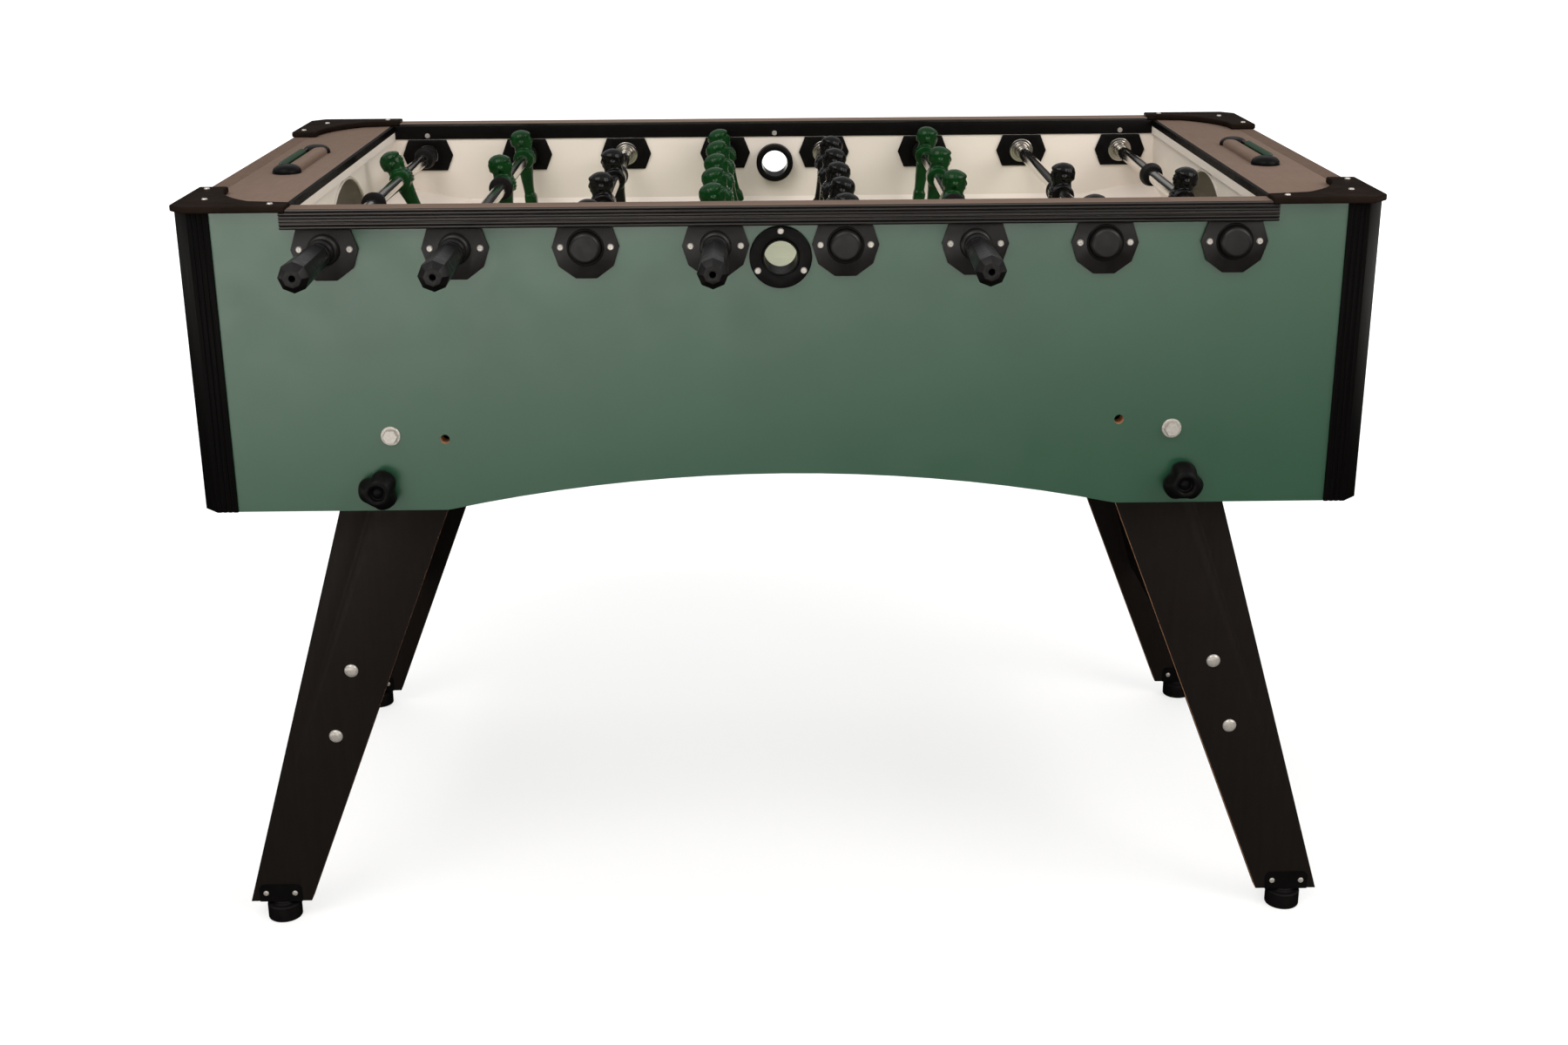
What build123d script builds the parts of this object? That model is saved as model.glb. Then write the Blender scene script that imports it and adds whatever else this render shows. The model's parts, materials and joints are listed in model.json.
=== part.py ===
from build123d import *
import math
import os

# A folding football table for two teams, with telescopic rods that turn and slide.
# Millimetres, X along the table, Y across it with the first side at -Y, Z up from the floor.

# Cabinet boards, with the table's length over the corner caps
table_length = 1370.0
panel_span = 746.0
panel_thickness = 20.0
panel_top = 898.0
panel_height = 334.5
arch_width = 786.0
arch_rise = 40.5
end_panel_thickness = 16.0

# Corner posts
post_proud = 3.0
post_width = 39.0
post_chamfer = 18.0
post_side_flat = 24.0
post_groove_width = 2.0
post_groove_depth = 1.2
post_groove_count = 3

# Playing field and its end walls
end_room = 116.0
field_thickness = 8.0
end_wall_thickness = 16.0
end_wall_depth = 60.0
ramp_along = 190.0
ramp_across = 215.0
ramp_rise = 33.0
strip_width = 14.0
strip_rise = 15.0
strip_ramp_lap = 80.0

# Goals: an arched mouth, a pocket behind it and a window in the end panel
goal_width = 260.0
goal_height = 100.0
pocket_wall = 3.0
pocket_overlap = 12.0
pocket_depth = 50.0
pocket_headroom = 6.0
return_width = 90.0
return_height = 60.0

# Top edge: rails on the long panels, boards on the ends, caps on the corners
rail_height = 19.0
rail_outer_overhang = 9.0
rail_inner_overhang = 2.0
rail_groove_count = 5
rail_groove_width = 1.8
rail_groove_depth = 1.5
rail_strip_thickness = 4.0
end_top_lip = 3.0
end_top_lap = 3.0
end_top_overhang = 1.0
cap_thickness = 8.0
cap_end_overhang = 6.0
cap_side_overhang = 11.0
cap_chamfer = 18.0
cap_rail_lap = 8.0
cap_side_reach = 144.0
cap_front_width = 30.0
cap_side_width = 35.0
cap_band_height = 13.0
cap_band_inset = 2.0
cap_sweep_straight = 23.0
cap_sweep_middle = (19.5, 72.0)
cap_sweep_end = (50.0, 105.0)
cap_screw_side = (14.0, 126.5)
cap_screw_corner = (31.5, 51.0)
cap_screw_front = (113.5, 16.5)

# Rods
keeper_room = 50.25
rod_drop = 23.3
field_clearance = 11.7
tube_diameter = 18.0
shaft_diameter = 10.0
running_fit = 0.1
axial_gap = 0.5
shaft_reach = 150.0

# Rod bearings
plate_thickness = 5.0
plate_half_width = 38.0
plate_top_half = 30.5
plate_low_half = 31.0
plate_foot_half = 12.0
plate_rise = 22.5
plate_low_drop = 21.5
plate_drop = 35.5
boss_diameter = 36.0
boss_height = 12.0
boss_edge = 5.0
spigot_diameter = 28.0
socket_depth = 30.0
inner_plate_thickness = 3.0
inner_plate_half = 37.0
inner_plate_top_half = 28.0
inner_plate_rise = 22.5
collar_diameter = 29.0
collar_wall = 4.0
collar_proud = 2.0

# Men, bumpers and grips on the rods
man_width = 30.0
man_collar_diameter = 33.0
man_head_diameter = 27.0
man_head_rise = 27.0
man_reach = 68.0
man_foot_height = 17.0
man_foot_back = 8.0
man_foot_front = 11.0
man_foot_width = 22.0
man_waist_depth = 21.0
man_waist_drop = 12.0
man_ankle_depth = 12.0
man_ankle_width = 17.0
bumper_length = 18.0
bumper_diameter = 32.0
bumper_small_diameter = 27.0
bumper_stop_gap = 1.0
keeper_bumper_offset = 196.0
keeper_travel = 125.0
pair_spacing = 245.0
trio_spacing = 205.0
five_spacing = 123.0
grip_gap = 1.0
grip_length = 145.0
grip_neck_length = 26.0
grip_neck_diameter = 30.0
grip_ring_length = 8.0
grip_waist_start = 10.5
grip_waist_end = 15.5
grip_waist_diameter = 25.0
grip_small_diameter = 29.0
grip_large_diameter = 34.0
grip_bevel = 7.0
grip_hole_diameter = 7.0
grip_sides = 8
grip_socket = 120.0

# Each rod: team side, men, room left before it is pushed fully in, lean of the heads toward +X
first_side = -1
second_side = 1
rods = [
    (first_side, 1, 2.0, -25.0),
    (first_side, 2, 1.0, -6.0),
    (second_side, 3, 18.0, -8.0),
    (first_side, 5, 1.0, -16.0),
    (second_side, 5, 50.0, 12.0),
    (first_side, 3, 1.0, 8.0),
    (second_side, 2, 20.0, 0.0),
    (second_side, 1, 32.0, 5.0),
]

# Ball entries in the long panels
entry_drop = 37.0
entry_flange_diameter = 71.0
entry_flange_thickness = 5.0
entry_sleeve_diameter = 50.0
entry_bore = 42.0
entry_proud = 2.0
entry_screw_circle = 60.0

# Score counters on the end boards
counter_length = 210.0
counter_offset = 66.0
counter_dome_diameter = 36.0
counter_dome_height = 11.0
counter_dome_edge = 6.0
counter_bar_width = 20.0
counter_bar_height = 9.0
counter_bar_edge = 5.0
bead_count = 10
bead_length = 12.0
bead_diameter = 11.0
wire_diameter = 4.0
bead_floor_gap = 0.5

# Folding leg frames
leg_pivot_inset = 185.0
leg_pivot_rise = 91.2
leg_thickness = 18.0
leg_side_gap = 13.0
leg_bottom = 25.0
leg_crown = 45.3
leg_foot_spread = 230.0
leg_foot_width = 77.5
leg_neck_spread = 71.0
leg_neck_width = 130.5
leg_top_radius = 25.0
pivot_bolt_diameter = 10.0
pivot_washer_diameter = 23.0
pivot_washer_thickness = 2.0
pivot_head_width = 16.0
pivot_head_height = 6.0
pivot_spacer_diameter = 44.0
pivot_nut_height = 8.0
side_clearance = 0.3
lock_radius = 63.0
lock_angle = 13.6
left_fold = 99.5
right_fold = 114.0
lock_hole_diameter = 11.0
stretcher_thickness = 18.0
stretcher_width = 150.0
stretcher_reach = 365.0
stretcher_inset = 14.0
dome_bolt_diameter = 17.0
dome_bolt_height = 3.4
dome_bolt_spacing = 92.0
bracket_width = 54.0
bracket_height = 24.0
bracket_thickness = 1.5
bracket_screw_spacing = 37.0
bracket_screw_height = 1.6

# Feet and lock knobs
foot_inset = 40.0
foot_diameter = 43.0
foot_pad_height = 21.0
foot_neck_diameter = 26.0
foot_stem_diameter = 10.0
foot_stem_reach = 35.0
foot_edge = 2.0
knob_diameter = 48.0
knob_height = 20.0
knob_face = 33.0
knob_neck_diameter = 26.0
knob_notch_diameter = 18.0
knob_notch_circle = 58.0
knob_notches = 5
knob_seat_gap = 0.3

# Screws
screw_diameter = 7.5
screw_height = 1.8
plate_screw_spacing = 56.5
rail_screw_inset = 48.0
rail_screw_height = 5.0

# Places worked out from the sizes above
cap_x = table_length / 2
end_face = cap_x - cap_end_overhang
end_inner = end_face - end_panel_thickness
panel_half = end_face - post_width
panel_face = panel_span / 2
panel_inner = panel_face - panel_thickness
panel_bottom = panel_top - panel_height
rod_height = panel_top - rod_drop
entry_height = panel_top - entry_drop
field_top = rod_height - man_reach - field_clearance
end_wall_bottom = field_top - end_wall_depth
pocket_floor = field_top - pocket_depth
post_outer_x = end_face + post_proud
post_outer_y = panel_face + post_proud
end_panel_half = post_outer_y - post_chamfer - post_side_flat
field_half = end_face - end_room
end_wall_back = field_half + end_wall_thickness
rail_top = panel_top + rail_height
cap_top = rail_top + cap_thickness
cap_y = panel_face + cap_side_overhang
cap_side_end = cap_y - cap_side_reach
end_top_outer = end_face + end_top_lip + end_top_overhang
end_top_inner = field_half - end_top_lap
end_top_width = end_top_outer - end_top_inner
cap_front_end = end_top_inner - cap_rail_lap
end_top_half = panel_face + end_top_overhang
rail_outer = panel_face + rail_outer_overhang
rail_inner = panel_inner - rail_inner_overhang
rod_pitch = 2 * (field_half - keeper_room) / (len(rods) - 1)
rod_x = [(index - (len(rods) - 1) / 2) * rod_pitch for index in range(len(rods))]
boss_face = panel_face + plate_thickness + boss_height
inner_plate_face = panel_inner - inner_plate_thickness
bumper_stop = inner_plate_face - collar_proud - bumper_stop_gap
counter_x = end_top_outer - counter_offset
leg_outer = panel_inner - leg_side_gap
leg_inner = leg_outer - leg_thickness
leg_middle = (leg_outer + leg_inner) / 2
leg_pivot_offset = panel_half - leg_pivot_inset
leg_pivot_height = panel_bottom + leg_pivot_rise
leg_top = leg_pivot_height + leg_crown
leg_foot_outer = leg_pivot_offset + leg_foot_spread
leg_foot_inner = leg_foot_outer - leg_foot_width
leg_neck_outer = leg_pivot_offset + leg_neck_spread
leg_neck_inner = leg_neck_outer - leg_neck_width
foot_offset = leg_foot_outer - foot_inset
leg_tilt = math.degrees(math.atan2(leg_foot_outer - leg_neck_outer, panel_bottom - leg_bottom))
spacings = {1: 0.0, 2: pair_spacing, 3: trio_spacing, 5: five_spacing}

os.makedirs("parts", exist_ok=True)


def upright(y):
    """Sketch plane across the table at y, with sketch X along the table and sketch Y up."""
    return Plane.XZ.offset(-y)


def outward(side, distance):
    """Extrusion amount on an upright plane that leads away from the middle of the table."""
    return -side * distance


def man_offsets(count):
    """Places of the men along their tube, measured from its middle man or gap."""
    spacing = spacings[count]
    return [(index - (count - 1) / 2) * spacing for index in range(count)]


def bumper_offset(count):
    """Distance from the middle of the men to the middle of each bumper."""
    if count == 1:
        return keeper_bumper_offset
    return max(man_offsets(count)) + man_width / 2 + bumper_length / 2


def travel(count):
    """How far the men can slide each way from the middle of the field."""
    reach = bumper_stop - bumper_offset(count) - bumper_length / 2
    return min(reach, keeper_travel) if count == 1 else reach


def rod_slide(rod):
    """Place of the men's middle at rest: handles are on the rod's own side, pushed inward."""
    side, count, room, lean = rod
    return -side * (travel(count) - room)


def lock_place(sign, angle):
    """Place of a lock hole at an angle from straight down, positive outward from the pivot."""
    reach = math.radians(angle)
    x = sign * (leg_pivot_offset + lock_radius * math.sin(reach))
    return (x, leg_pivot_height - lock_radius * math.cos(reach))


def leg_edge(foot_x, neck_x, height):
    """Distance of a straight leg edge from the middle of the table at a height."""
    share = (height - leg_bottom) / (panel_bottom - leg_bottom)
    return foot_x + (neck_x - foot_x) * share


def leg_point(sign, along, inset):
    """Point on a leg: along its outer edge from the pivot, inset toward the middle."""
    tilt = math.radians(leg_tilt)
    x = leg_pivot_offset + along * math.sin(tilt) - inset * math.cos(tilt)
    z = leg_pivot_height - along * math.cos(tilt) - inset * math.sin(tilt)
    return (sign * x, z)


# Long panels, with an arch below and holes for bearings, ball entry, pivots and locks
folded_locks = [lock_place(-1, lock_angle - left_fold), lock_place(1, lock_angle - right_fold)]
open_locks = [lock_place(-1, lock_angle), lock_place(1, lock_angle)]
pivots = [(-leg_pivot_offset, leg_pivot_height), (leg_pivot_offset, leg_pivot_height)]


def long_panel(side):
    """One long side board of the cabinet."""
    with BuildPart() as panel:
        with BuildSketch(upright(side * panel_face)):
            with BuildLine():
                Polyline(
                    (-arch_width / 2, panel_bottom),
                    (-panel_half, panel_bottom),
                    (-panel_half, panel_top),
                    (panel_half, panel_top),
                    (panel_half, panel_bottom),
                    (arch_width / 2, panel_bottom),
                )
                ThreePointArc(
                    (arch_width / 2, panel_bottom),
                    (0, panel_bottom + arch_rise),
                    (-arch_width / 2, panel_bottom),
                )
            make_face()
            with Locations(*[(x, rod_height) for x in rod_x]):
                Circle(spigot_diameter / 2, mode=Mode.SUBTRACT)
            with Locations((0, entry_height)):
                Circle(entry_sleeve_diameter / 2, mode=Mode.SUBTRACT)
            with Locations(*pivots):
                Circle(pivot_bolt_diameter / 2, mode=Mode.SUBTRACT)
            with Locations(*folded_locks, *open_locks):
                Circle(lock_hole_diameter / 2, mode=Mode.SUBTRACT)
        extrude(amount=-outward(side, panel_thickness))
    return panel.part


front_panel = long_panel(first_side)
front_panel.label = "front_panel"
export_step(front_panel, "parts/front_panel.step")

back_panel = long_panel(second_side)
back_panel.label = "back_panel"
export_step(back_panel, "parts/back_panel.step")

# End panels, each with a window where the ball comes back
with BuildPart() as end_panels:
    for sign in (-1, 1):
        with BuildSketch(Plane.YZ.offset(sign * end_inner)):
            with Locations((0, (panel_bottom + panel_top) / 2)):
                Rectangle(2 * end_panel_half, panel_top - panel_bottom)
            with Locations((0, pocket_floor + return_height / 2)):
                Rectangle(return_width, return_height, mode=Mode.SUBTRACT)
        extrude(amount=sign * end_panel_thickness)
end_panels.part.label = "end_panels"
export_step(end_panels.part, "parts/end_panels.step")

# Corner posts: grooved profiles that hold the ends of the panels
with BuildPart() as corner_posts:
    with BuildSketch(Plane.XY.offset(panel_bottom)):
        with BuildLine():
            Polyline(
                (panel_half, panel_inner),
                (panel_half, post_outer_y),
                (post_outer_x - post_chamfer, post_outer_y),
                (post_outer_x, post_outer_y - post_chamfer),
                (post_outer_x, end_panel_half),
                (end_inner, end_panel_half),
                (end_inner, panel_inner),
                close=True,
            )
        make_face()
        front_flat = post_outer_x - post_chamfer - panel_half
        for groove in range(post_groove_count):
            share = (groove + 1) / (post_groove_count + 1)
            with Locations((panel_half + front_flat * share, post_outer_y)):
                Rectangle(post_groove_width, 2 * post_groove_depth, mode=Mode.SUBTRACT)
            with Locations((post_outer_x, end_panel_half + post_side_flat * share)):
                Rectangle(2 * post_groove_depth, post_groove_width, mode=Mode.SUBTRACT)
        mirror(about=Plane.YZ)
        mirror(about=Plane.XZ)
    extrude(amount=panel_top - panel_bottom)
corner_posts.part.label = "corner_posts"
export_step(corner_posts.part, "parts/corner_posts.step")

# White walls at the ends of the field, with the arched goal mouths
with BuildPart() as end_walls:
    for sign in (-1, 1):
        with BuildSketch(Plane.YZ.offset(sign * field_half)):
            with Locations((0, (end_wall_bottom + panel_top) / 2)):
                Rectangle(2 * panel_inner, panel_top - end_wall_bottom)
            with BuildLine():
                EllipticalCenterArc((0, field_top), goal_width / 2, goal_height, 0, arc_size=180)
                Line((-goal_width / 2, field_top), (goal_width / 2, field_top))
            make_face(mode=Mode.SUBTRACT)
        extrude(amount=sign * end_wall_thickness)
end_walls.part.label = "end_walls"
export_step(end_walls.part, "parts/end_walls.step")

# Playing field board
with BuildPart() as playfield:
    with BuildSketch(Plane.XY.offset(field_top - field_thickness)):
        Rectangle(2 * field_half, 2 * panel_inner)
    extrude(amount=field_thickness)
playfield.part.label = "playfield"
export_step(playfield.part, "parts/playfield.step")

# Sloped corners and edge strips that send the ball back to the men
slope_cut = Plane(
    Face.make_surface(
        Wire.make_polygon(
            [
                (field_half, panel_inner, field_top + ramp_rise),
                (field_half - ramp_along, panel_inner, field_top),
                (field_half, panel_inner - ramp_across, field_top),
            ]
        )
    )
)
with BuildPart() as corner_ramp:
    with BuildSketch(Plane.XY.offset(field_top)):
        Polygon(
            (field_half, panel_inner),
            (field_half - ramp_along, panel_inner),
            (field_half, panel_inner - ramp_across),
            align=None,
        )
    extrude(amount=ramp_rise)
    split(bisect_by=slope_cut, keep=Keep.BOTTOM if slope_cut.z_dir.Z > 0 else Keep.TOP)
with BuildPart() as field_ramps:
    add(corner_ramp.part)
    strip_half = field_half - ramp_along + strip_ramp_lap
    with BuildSketch(Plane.YZ.offset(-strip_half)):
        Polygon(
            (panel_inner, field_top),
            (panel_inner - strip_width, field_top),
            (panel_inner, field_top + strip_rise),
            align=None,
        )
    extrude(amount=2 * strip_half)
    mirror(about=Plane.YZ)
    mirror(about=Plane.XZ)
field_ramps.part.label = "field_ramps"
export_step(field_ramps.part, "parts/field_ramps.step")

# Goal pockets between the end walls and the end panels, open at the mouth and at the window
pocket_half = goal_width / 2 + pocket_overlap
pocket_top = field_top + goal_height + pocket_headroom - pocket_wall
pocket_length = end_inner - end_wall_back
with BuildPart() as goal_pockets:
    for sign in (-1, 1):
        with BuildSketch(Plane.YZ.offset(sign * end_wall_back)):
            with Locations((0, (pocket_floor + pocket_top) / 2)):
                Rectangle(2 * pocket_half, pocket_top - pocket_floor)
        extrude(amount=sign * pocket_length)
        with BuildSketch(Plane.YZ.offset(sign * (end_wall_back + pocket_wall))):
            with Locations((0, (pocket_floor + pocket_top) / 2)):
                Rectangle(
                    2 * (pocket_half - pocket_wall),
                    pocket_top - pocket_floor - 2 * pocket_wall,
                )
        extrude(amount=sign * (pocket_length - 2 * pocket_wall), mode=Mode.SUBTRACT)
        with BuildSketch(Plane.YZ.offset(sign * end_wall_back)):
            with BuildLine():
                EllipticalCenterArc((0, field_top), goal_width / 2, goal_height, 0, arc_size=180)
                Line((-goal_width / 2, field_top), (goal_width / 2, field_top))
            make_face()
        extrude(amount=sign * pocket_wall, mode=Mode.SUBTRACT)
        with BuildSketch(Plane.YZ.offset(sign * end_inner)):
            with Locations((0, pocket_floor + (return_height + pocket_wall) / 2)):
                Rectangle(return_width, return_height - pocket_wall)
        extrude(amount=-sign * pocket_wall, mode=Mode.SUBTRACT)
goal_pockets.part.label = "goal_pockets"
export_step(goal_pockets.part, "parts/goal_pockets.step")

# Grooved rails along the long panels
with BuildPart() as top_rails:
    with BuildSketch(Plane.YZ.offset(-end_top_inner)):
        with Locations(((rail_outer + rail_inner) / 2, (panel_top + rail_top) / 2)):
            Rectangle(rail_outer - rail_inner, rail_height)
        for groove in range(rail_groove_count):
            share = (groove + 1) / (rail_groove_count + 1)
            with Locations((rail_outer, panel_top + rail_height * share)):
                Rectangle(2 * rail_groove_depth, rail_groove_width, mode=Mode.SUBTRACT)
        mirror(about=Plane.YZ)
    extrude(amount=2 * end_top_inner)
top_rails.part.label = "top_rails"
export_step(top_rails.part, "parts/top_rails.step")

# Boards on the ends and thin strips on the rails
with BuildPart() as top_boards:
    with BuildSketch(Plane.XY.offset(panel_top)):
        for sign in (-1, 1):
            with Locations((sign * (end_top_inner + end_top_outer) / 2, 0)):
                Rectangle(end_top_width, 2 * end_top_half)
    extrude(amount=rail_height)
    with BuildSketch(Plane.XY.offset(rail_top)):
        for side in (first_side, second_side):
            with Locations((0, side * (rail_outer + rail_inner) / 2)):
                Rectangle(2 * cap_front_end, rail_outer - rail_inner)
    extrude(amount=rail_strip_thickness)
top_boards.part.label = "top_boards"
export_step(top_boards.part, "parts/top_boards.step")

# Corner caps: bent plates with a swept inner edge and a band below the front edge
sweep_x = cap_x - cap_side_width
sweep_y = cap_y - cap_front_width
sweep_start = (sweep_x, cap_side_end + cap_sweep_straight)
sweep_middle = (sweep_x - cap_sweep_middle[0], cap_side_end + cap_sweep_middle[1])
sweep_end = (sweep_x - cap_sweep_end[0], cap_side_end + cap_sweep_end[1])
with BuildPart() as corner_caps:
    with BuildSketch(Plane.XY.offset(rail_top)):
        with BuildLine():
            Polyline(
                (cap_front_end, sweep_y),
                (cap_front_end, cap_y),
                (cap_x - cap_chamfer, cap_y),
                (cap_x, cap_y - cap_chamfer),
                (cap_x, cap_side_end),
                (sweep_x, cap_side_end),
                sweep_start,
            )
            ThreePointArc(sweep_start, sweep_middle, sweep_end)
            Line(sweep_end, (cap_front_end, sweep_y))
        make_face()
        mirror(about=Plane.YZ)
        mirror(about=Plane.XZ)
    extrude(amount=cap_thickness)
    band_outer = cap_y - cap_band_inset
    band_end = cap_x - cap_chamfer
    band_x = (end_top_inner + band_end) / 2
    band_y = (end_top_half + band_outer) / 2
    with BuildSketch(Plane.XY.offset(rail_top)):
        for sign in (-1, 1):
            for side in (first_side, second_side):
                with Locations((sign * band_x, side * band_y)):
                    Rectangle(band_end - end_top_inner, band_outer - end_top_half)
    extrude(amount=-cap_band_height)
corner_caps.part.label = "corner_caps"
export_step(corner_caps.part, "parts/corner_caps.step")

# Bearing housings: open where the tube passes, closed with a dome over the fixed end
plate_outline = [
    (plate_top_half, plate_rise),
    (plate_half_width, 0),
    (plate_low_half, -plate_low_drop),
    (plate_foot_half, -plate_drop),
    (-plate_foot_half, -plate_drop),
    (-plate_low_half, -plate_low_drop),
    (-plate_half_width, 0),
    (-plate_top_half, plate_rise),
]


def housing(side, x, is_open):
    """One bearing housing on the outside of a long panel, with its spigot through the panel."""
    with BuildPart() as piece:
        with BuildSketch(upright(side * panel_face)):
            with Locations((x, rod_height)):
                Polygon(*plate_outline, align=None)
        extrude(amount=outward(side, plate_thickness))
        with BuildSketch(upright(side * panel_inner)):
            with Locations((x, rod_height)):
                Circle(spigot_diameter / 2)
        extrude(amount=outward(side, panel_thickness))
        with BuildSketch(upright(side * (panel_face + plate_thickness))):
            with Locations((x, rod_height)):
                Circle(boss_diameter / 2)
        extrude(amount=outward(side, boss_height))
        rim = piece.edges().filter_by(GeomType.CIRCLE).sort_by(Axis.Y)[-1 if side > 0 else 0]
        fillet(rim, boss_edge)
        bore = tube_diameter if is_open else shaft_diameter
        depth = boss_face - panel_inner if is_open else socket_depth
        with BuildSketch(upright(side * panel_inner)):
            with Locations((x, rod_height)):
                Circle(bore / 2 + running_fit)
        extrude(amount=outward(side, depth), mode=Mode.SUBTRACT)
    return piece.part


with BuildPart() as bearing_housings:
    for rod, x in zip(rods, rod_x):
        for side in (first_side, second_side):
            add(housing(side, x, side == rod[0]))
bearing_housings.part.label = "bearing_housings"
export_step(bearing_housings.part, "parts/bearing_housings.step")

# Six-sided plates on the inside of the long panels
inner_outline = [
    (inner_plate_half, 0),
    (inner_plate_top_half, inner_plate_rise),
    (-inner_plate_top_half, inner_plate_rise),
    (-inner_plate_half, 0),
    (-inner_plate_top_half, -inner_plate_rise),
    (inner_plate_top_half, -inner_plate_rise),
]
with BuildPart() as inner_plates:
    for side in (first_side, second_side):
        with BuildSketch(upright(side * inner_plate_face)):
            with Locations(*[(x, rod_height) for x in rod_x]):
                Polygon(*inner_outline, align=None)
                Circle(collar_diameter / 2, mode=Mode.SUBTRACT)
        extrude(amount=outward(side, inner_plate_thickness))
inner_plates.part.label = "inner_plates"
export_step(inner_plates.part, "parts/inner_plates.step")

# Ball entries through the long panels
with BuildPart() as ball_entries:
    for side in (first_side, second_side):
        with BuildSketch(upright(side * panel_face)):
            with Locations((0, entry_height)):
                Circle(entry_flange_diameter / 2)
                Circle(entry_bore / 2, mode=Mode.SUBTRACT)
        extrude(amount=outward(side, entry_flange_thickness))
        with BuildSketch(upright(side * panel_face)):
            with Locations((0, entry_height)):
                Circle(entry_sleeve_diameter / 2)
                Circle(entry_bore / 2, mode=Mode.SUBTRACT)
        extrude(amount=-outward(side, panel_thickness + entry_proud))
ball_entries.part.label = "ball_entries"
export_step(ball_entries.part, "parts/ball_entries.step")

# Score counters: two domes, a bar and a wire on each end board
wire_x = counter_bar_width / 2 + bead_diameter / 2 + bead_floor_gap
wire_z = rail_top + bead_diameter / 2 + bead_floor_gap
dome_middle = (counter_length - counter_dome_diameter) / 2
bar_shift = (bead_diameter + bead_floor_gap) / 2
wire_free = counter_length - 2 * counter_dome_diameter


with BuildPart() as counter_dome:
    with BuildSketch(Plane.XZ):
        with BuildLine():
            Polyline(
                (0, 0),
                (counter_dome_diameter / 2, 0),
                (counter_dome_diameter / 2, counter_dome_height - counter_dome_edge),
                (counter_dome_diameter / 2 - counter_dome_edge, counter_dome_height),
                (0, counter_dome_height),
                close=True,
            )
        make_face()
    revolve(axis=Axis.Z)


def counter_frame(sign):
    """The fixed part of one score counter."""
    with BuildPart() as frame:
        for end in (-1, 1):
            with Locations((sign * counter_x, end * dome_middle, rail_top)):
                add(counter_dome.part)
        with BuildSketch(Plane.XZ.offset(-dome_middle)):
            with Locations((sign * (counter_x - bar_shift), rail_top + counter_bar_height / 2)):
                bar = Rectangle(counter_bar_width, counter_bar_height)
            chamfer(bar.vertices().group_by(Axis.Y)[-1], counter_bar_edge)
        extrude(amount=2 * dome_middle)
        with BuildSketch(Plane.XZ.offset(-dome_middle)):
            with Locations((sign * (counter_x - bar_shift + wire_x), wire_z)):
                Circle(wire_diameter / 2)
        extrude(amount=2 * dome_middle)
    return frame.part


def counter_beads(sign):
    """The row of beads of one score counter, gathered at the first side's end."""
    with BuildPart() as beads:
        for index in range(bead_count):
            start = -wire_free / 2 + axial_gap + index * bead_length
            with BuildSketch(upright(start)):
                with Locations((sign * (counter_x - bar_shift + wire_x), wire_z)):
                    Circle(bead_diameter / 2)
                    Circle(wire_diameter / 2 + running_fit, mode=Mode.SUBTRACT)
            extrude(amount=-(bead_length - axial_gap))
    return beads.part


with BuildPart() as score_frames:
    add(counter_frame(-1))
    add(counter_frame(1))
score_frames.part.label = "score_frames"
export_step(score_frames.part, "parts/score_frames.step")

left_beads = counter_beads(-1)
left_beads.label = "left_beads"
export_step(left_beads, "parts/left_beads.step")

right_beads = counter_beads(1)
right_beads.label = "right_beads"
export_step(right_beads, "parts/right_beads.step")

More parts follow.
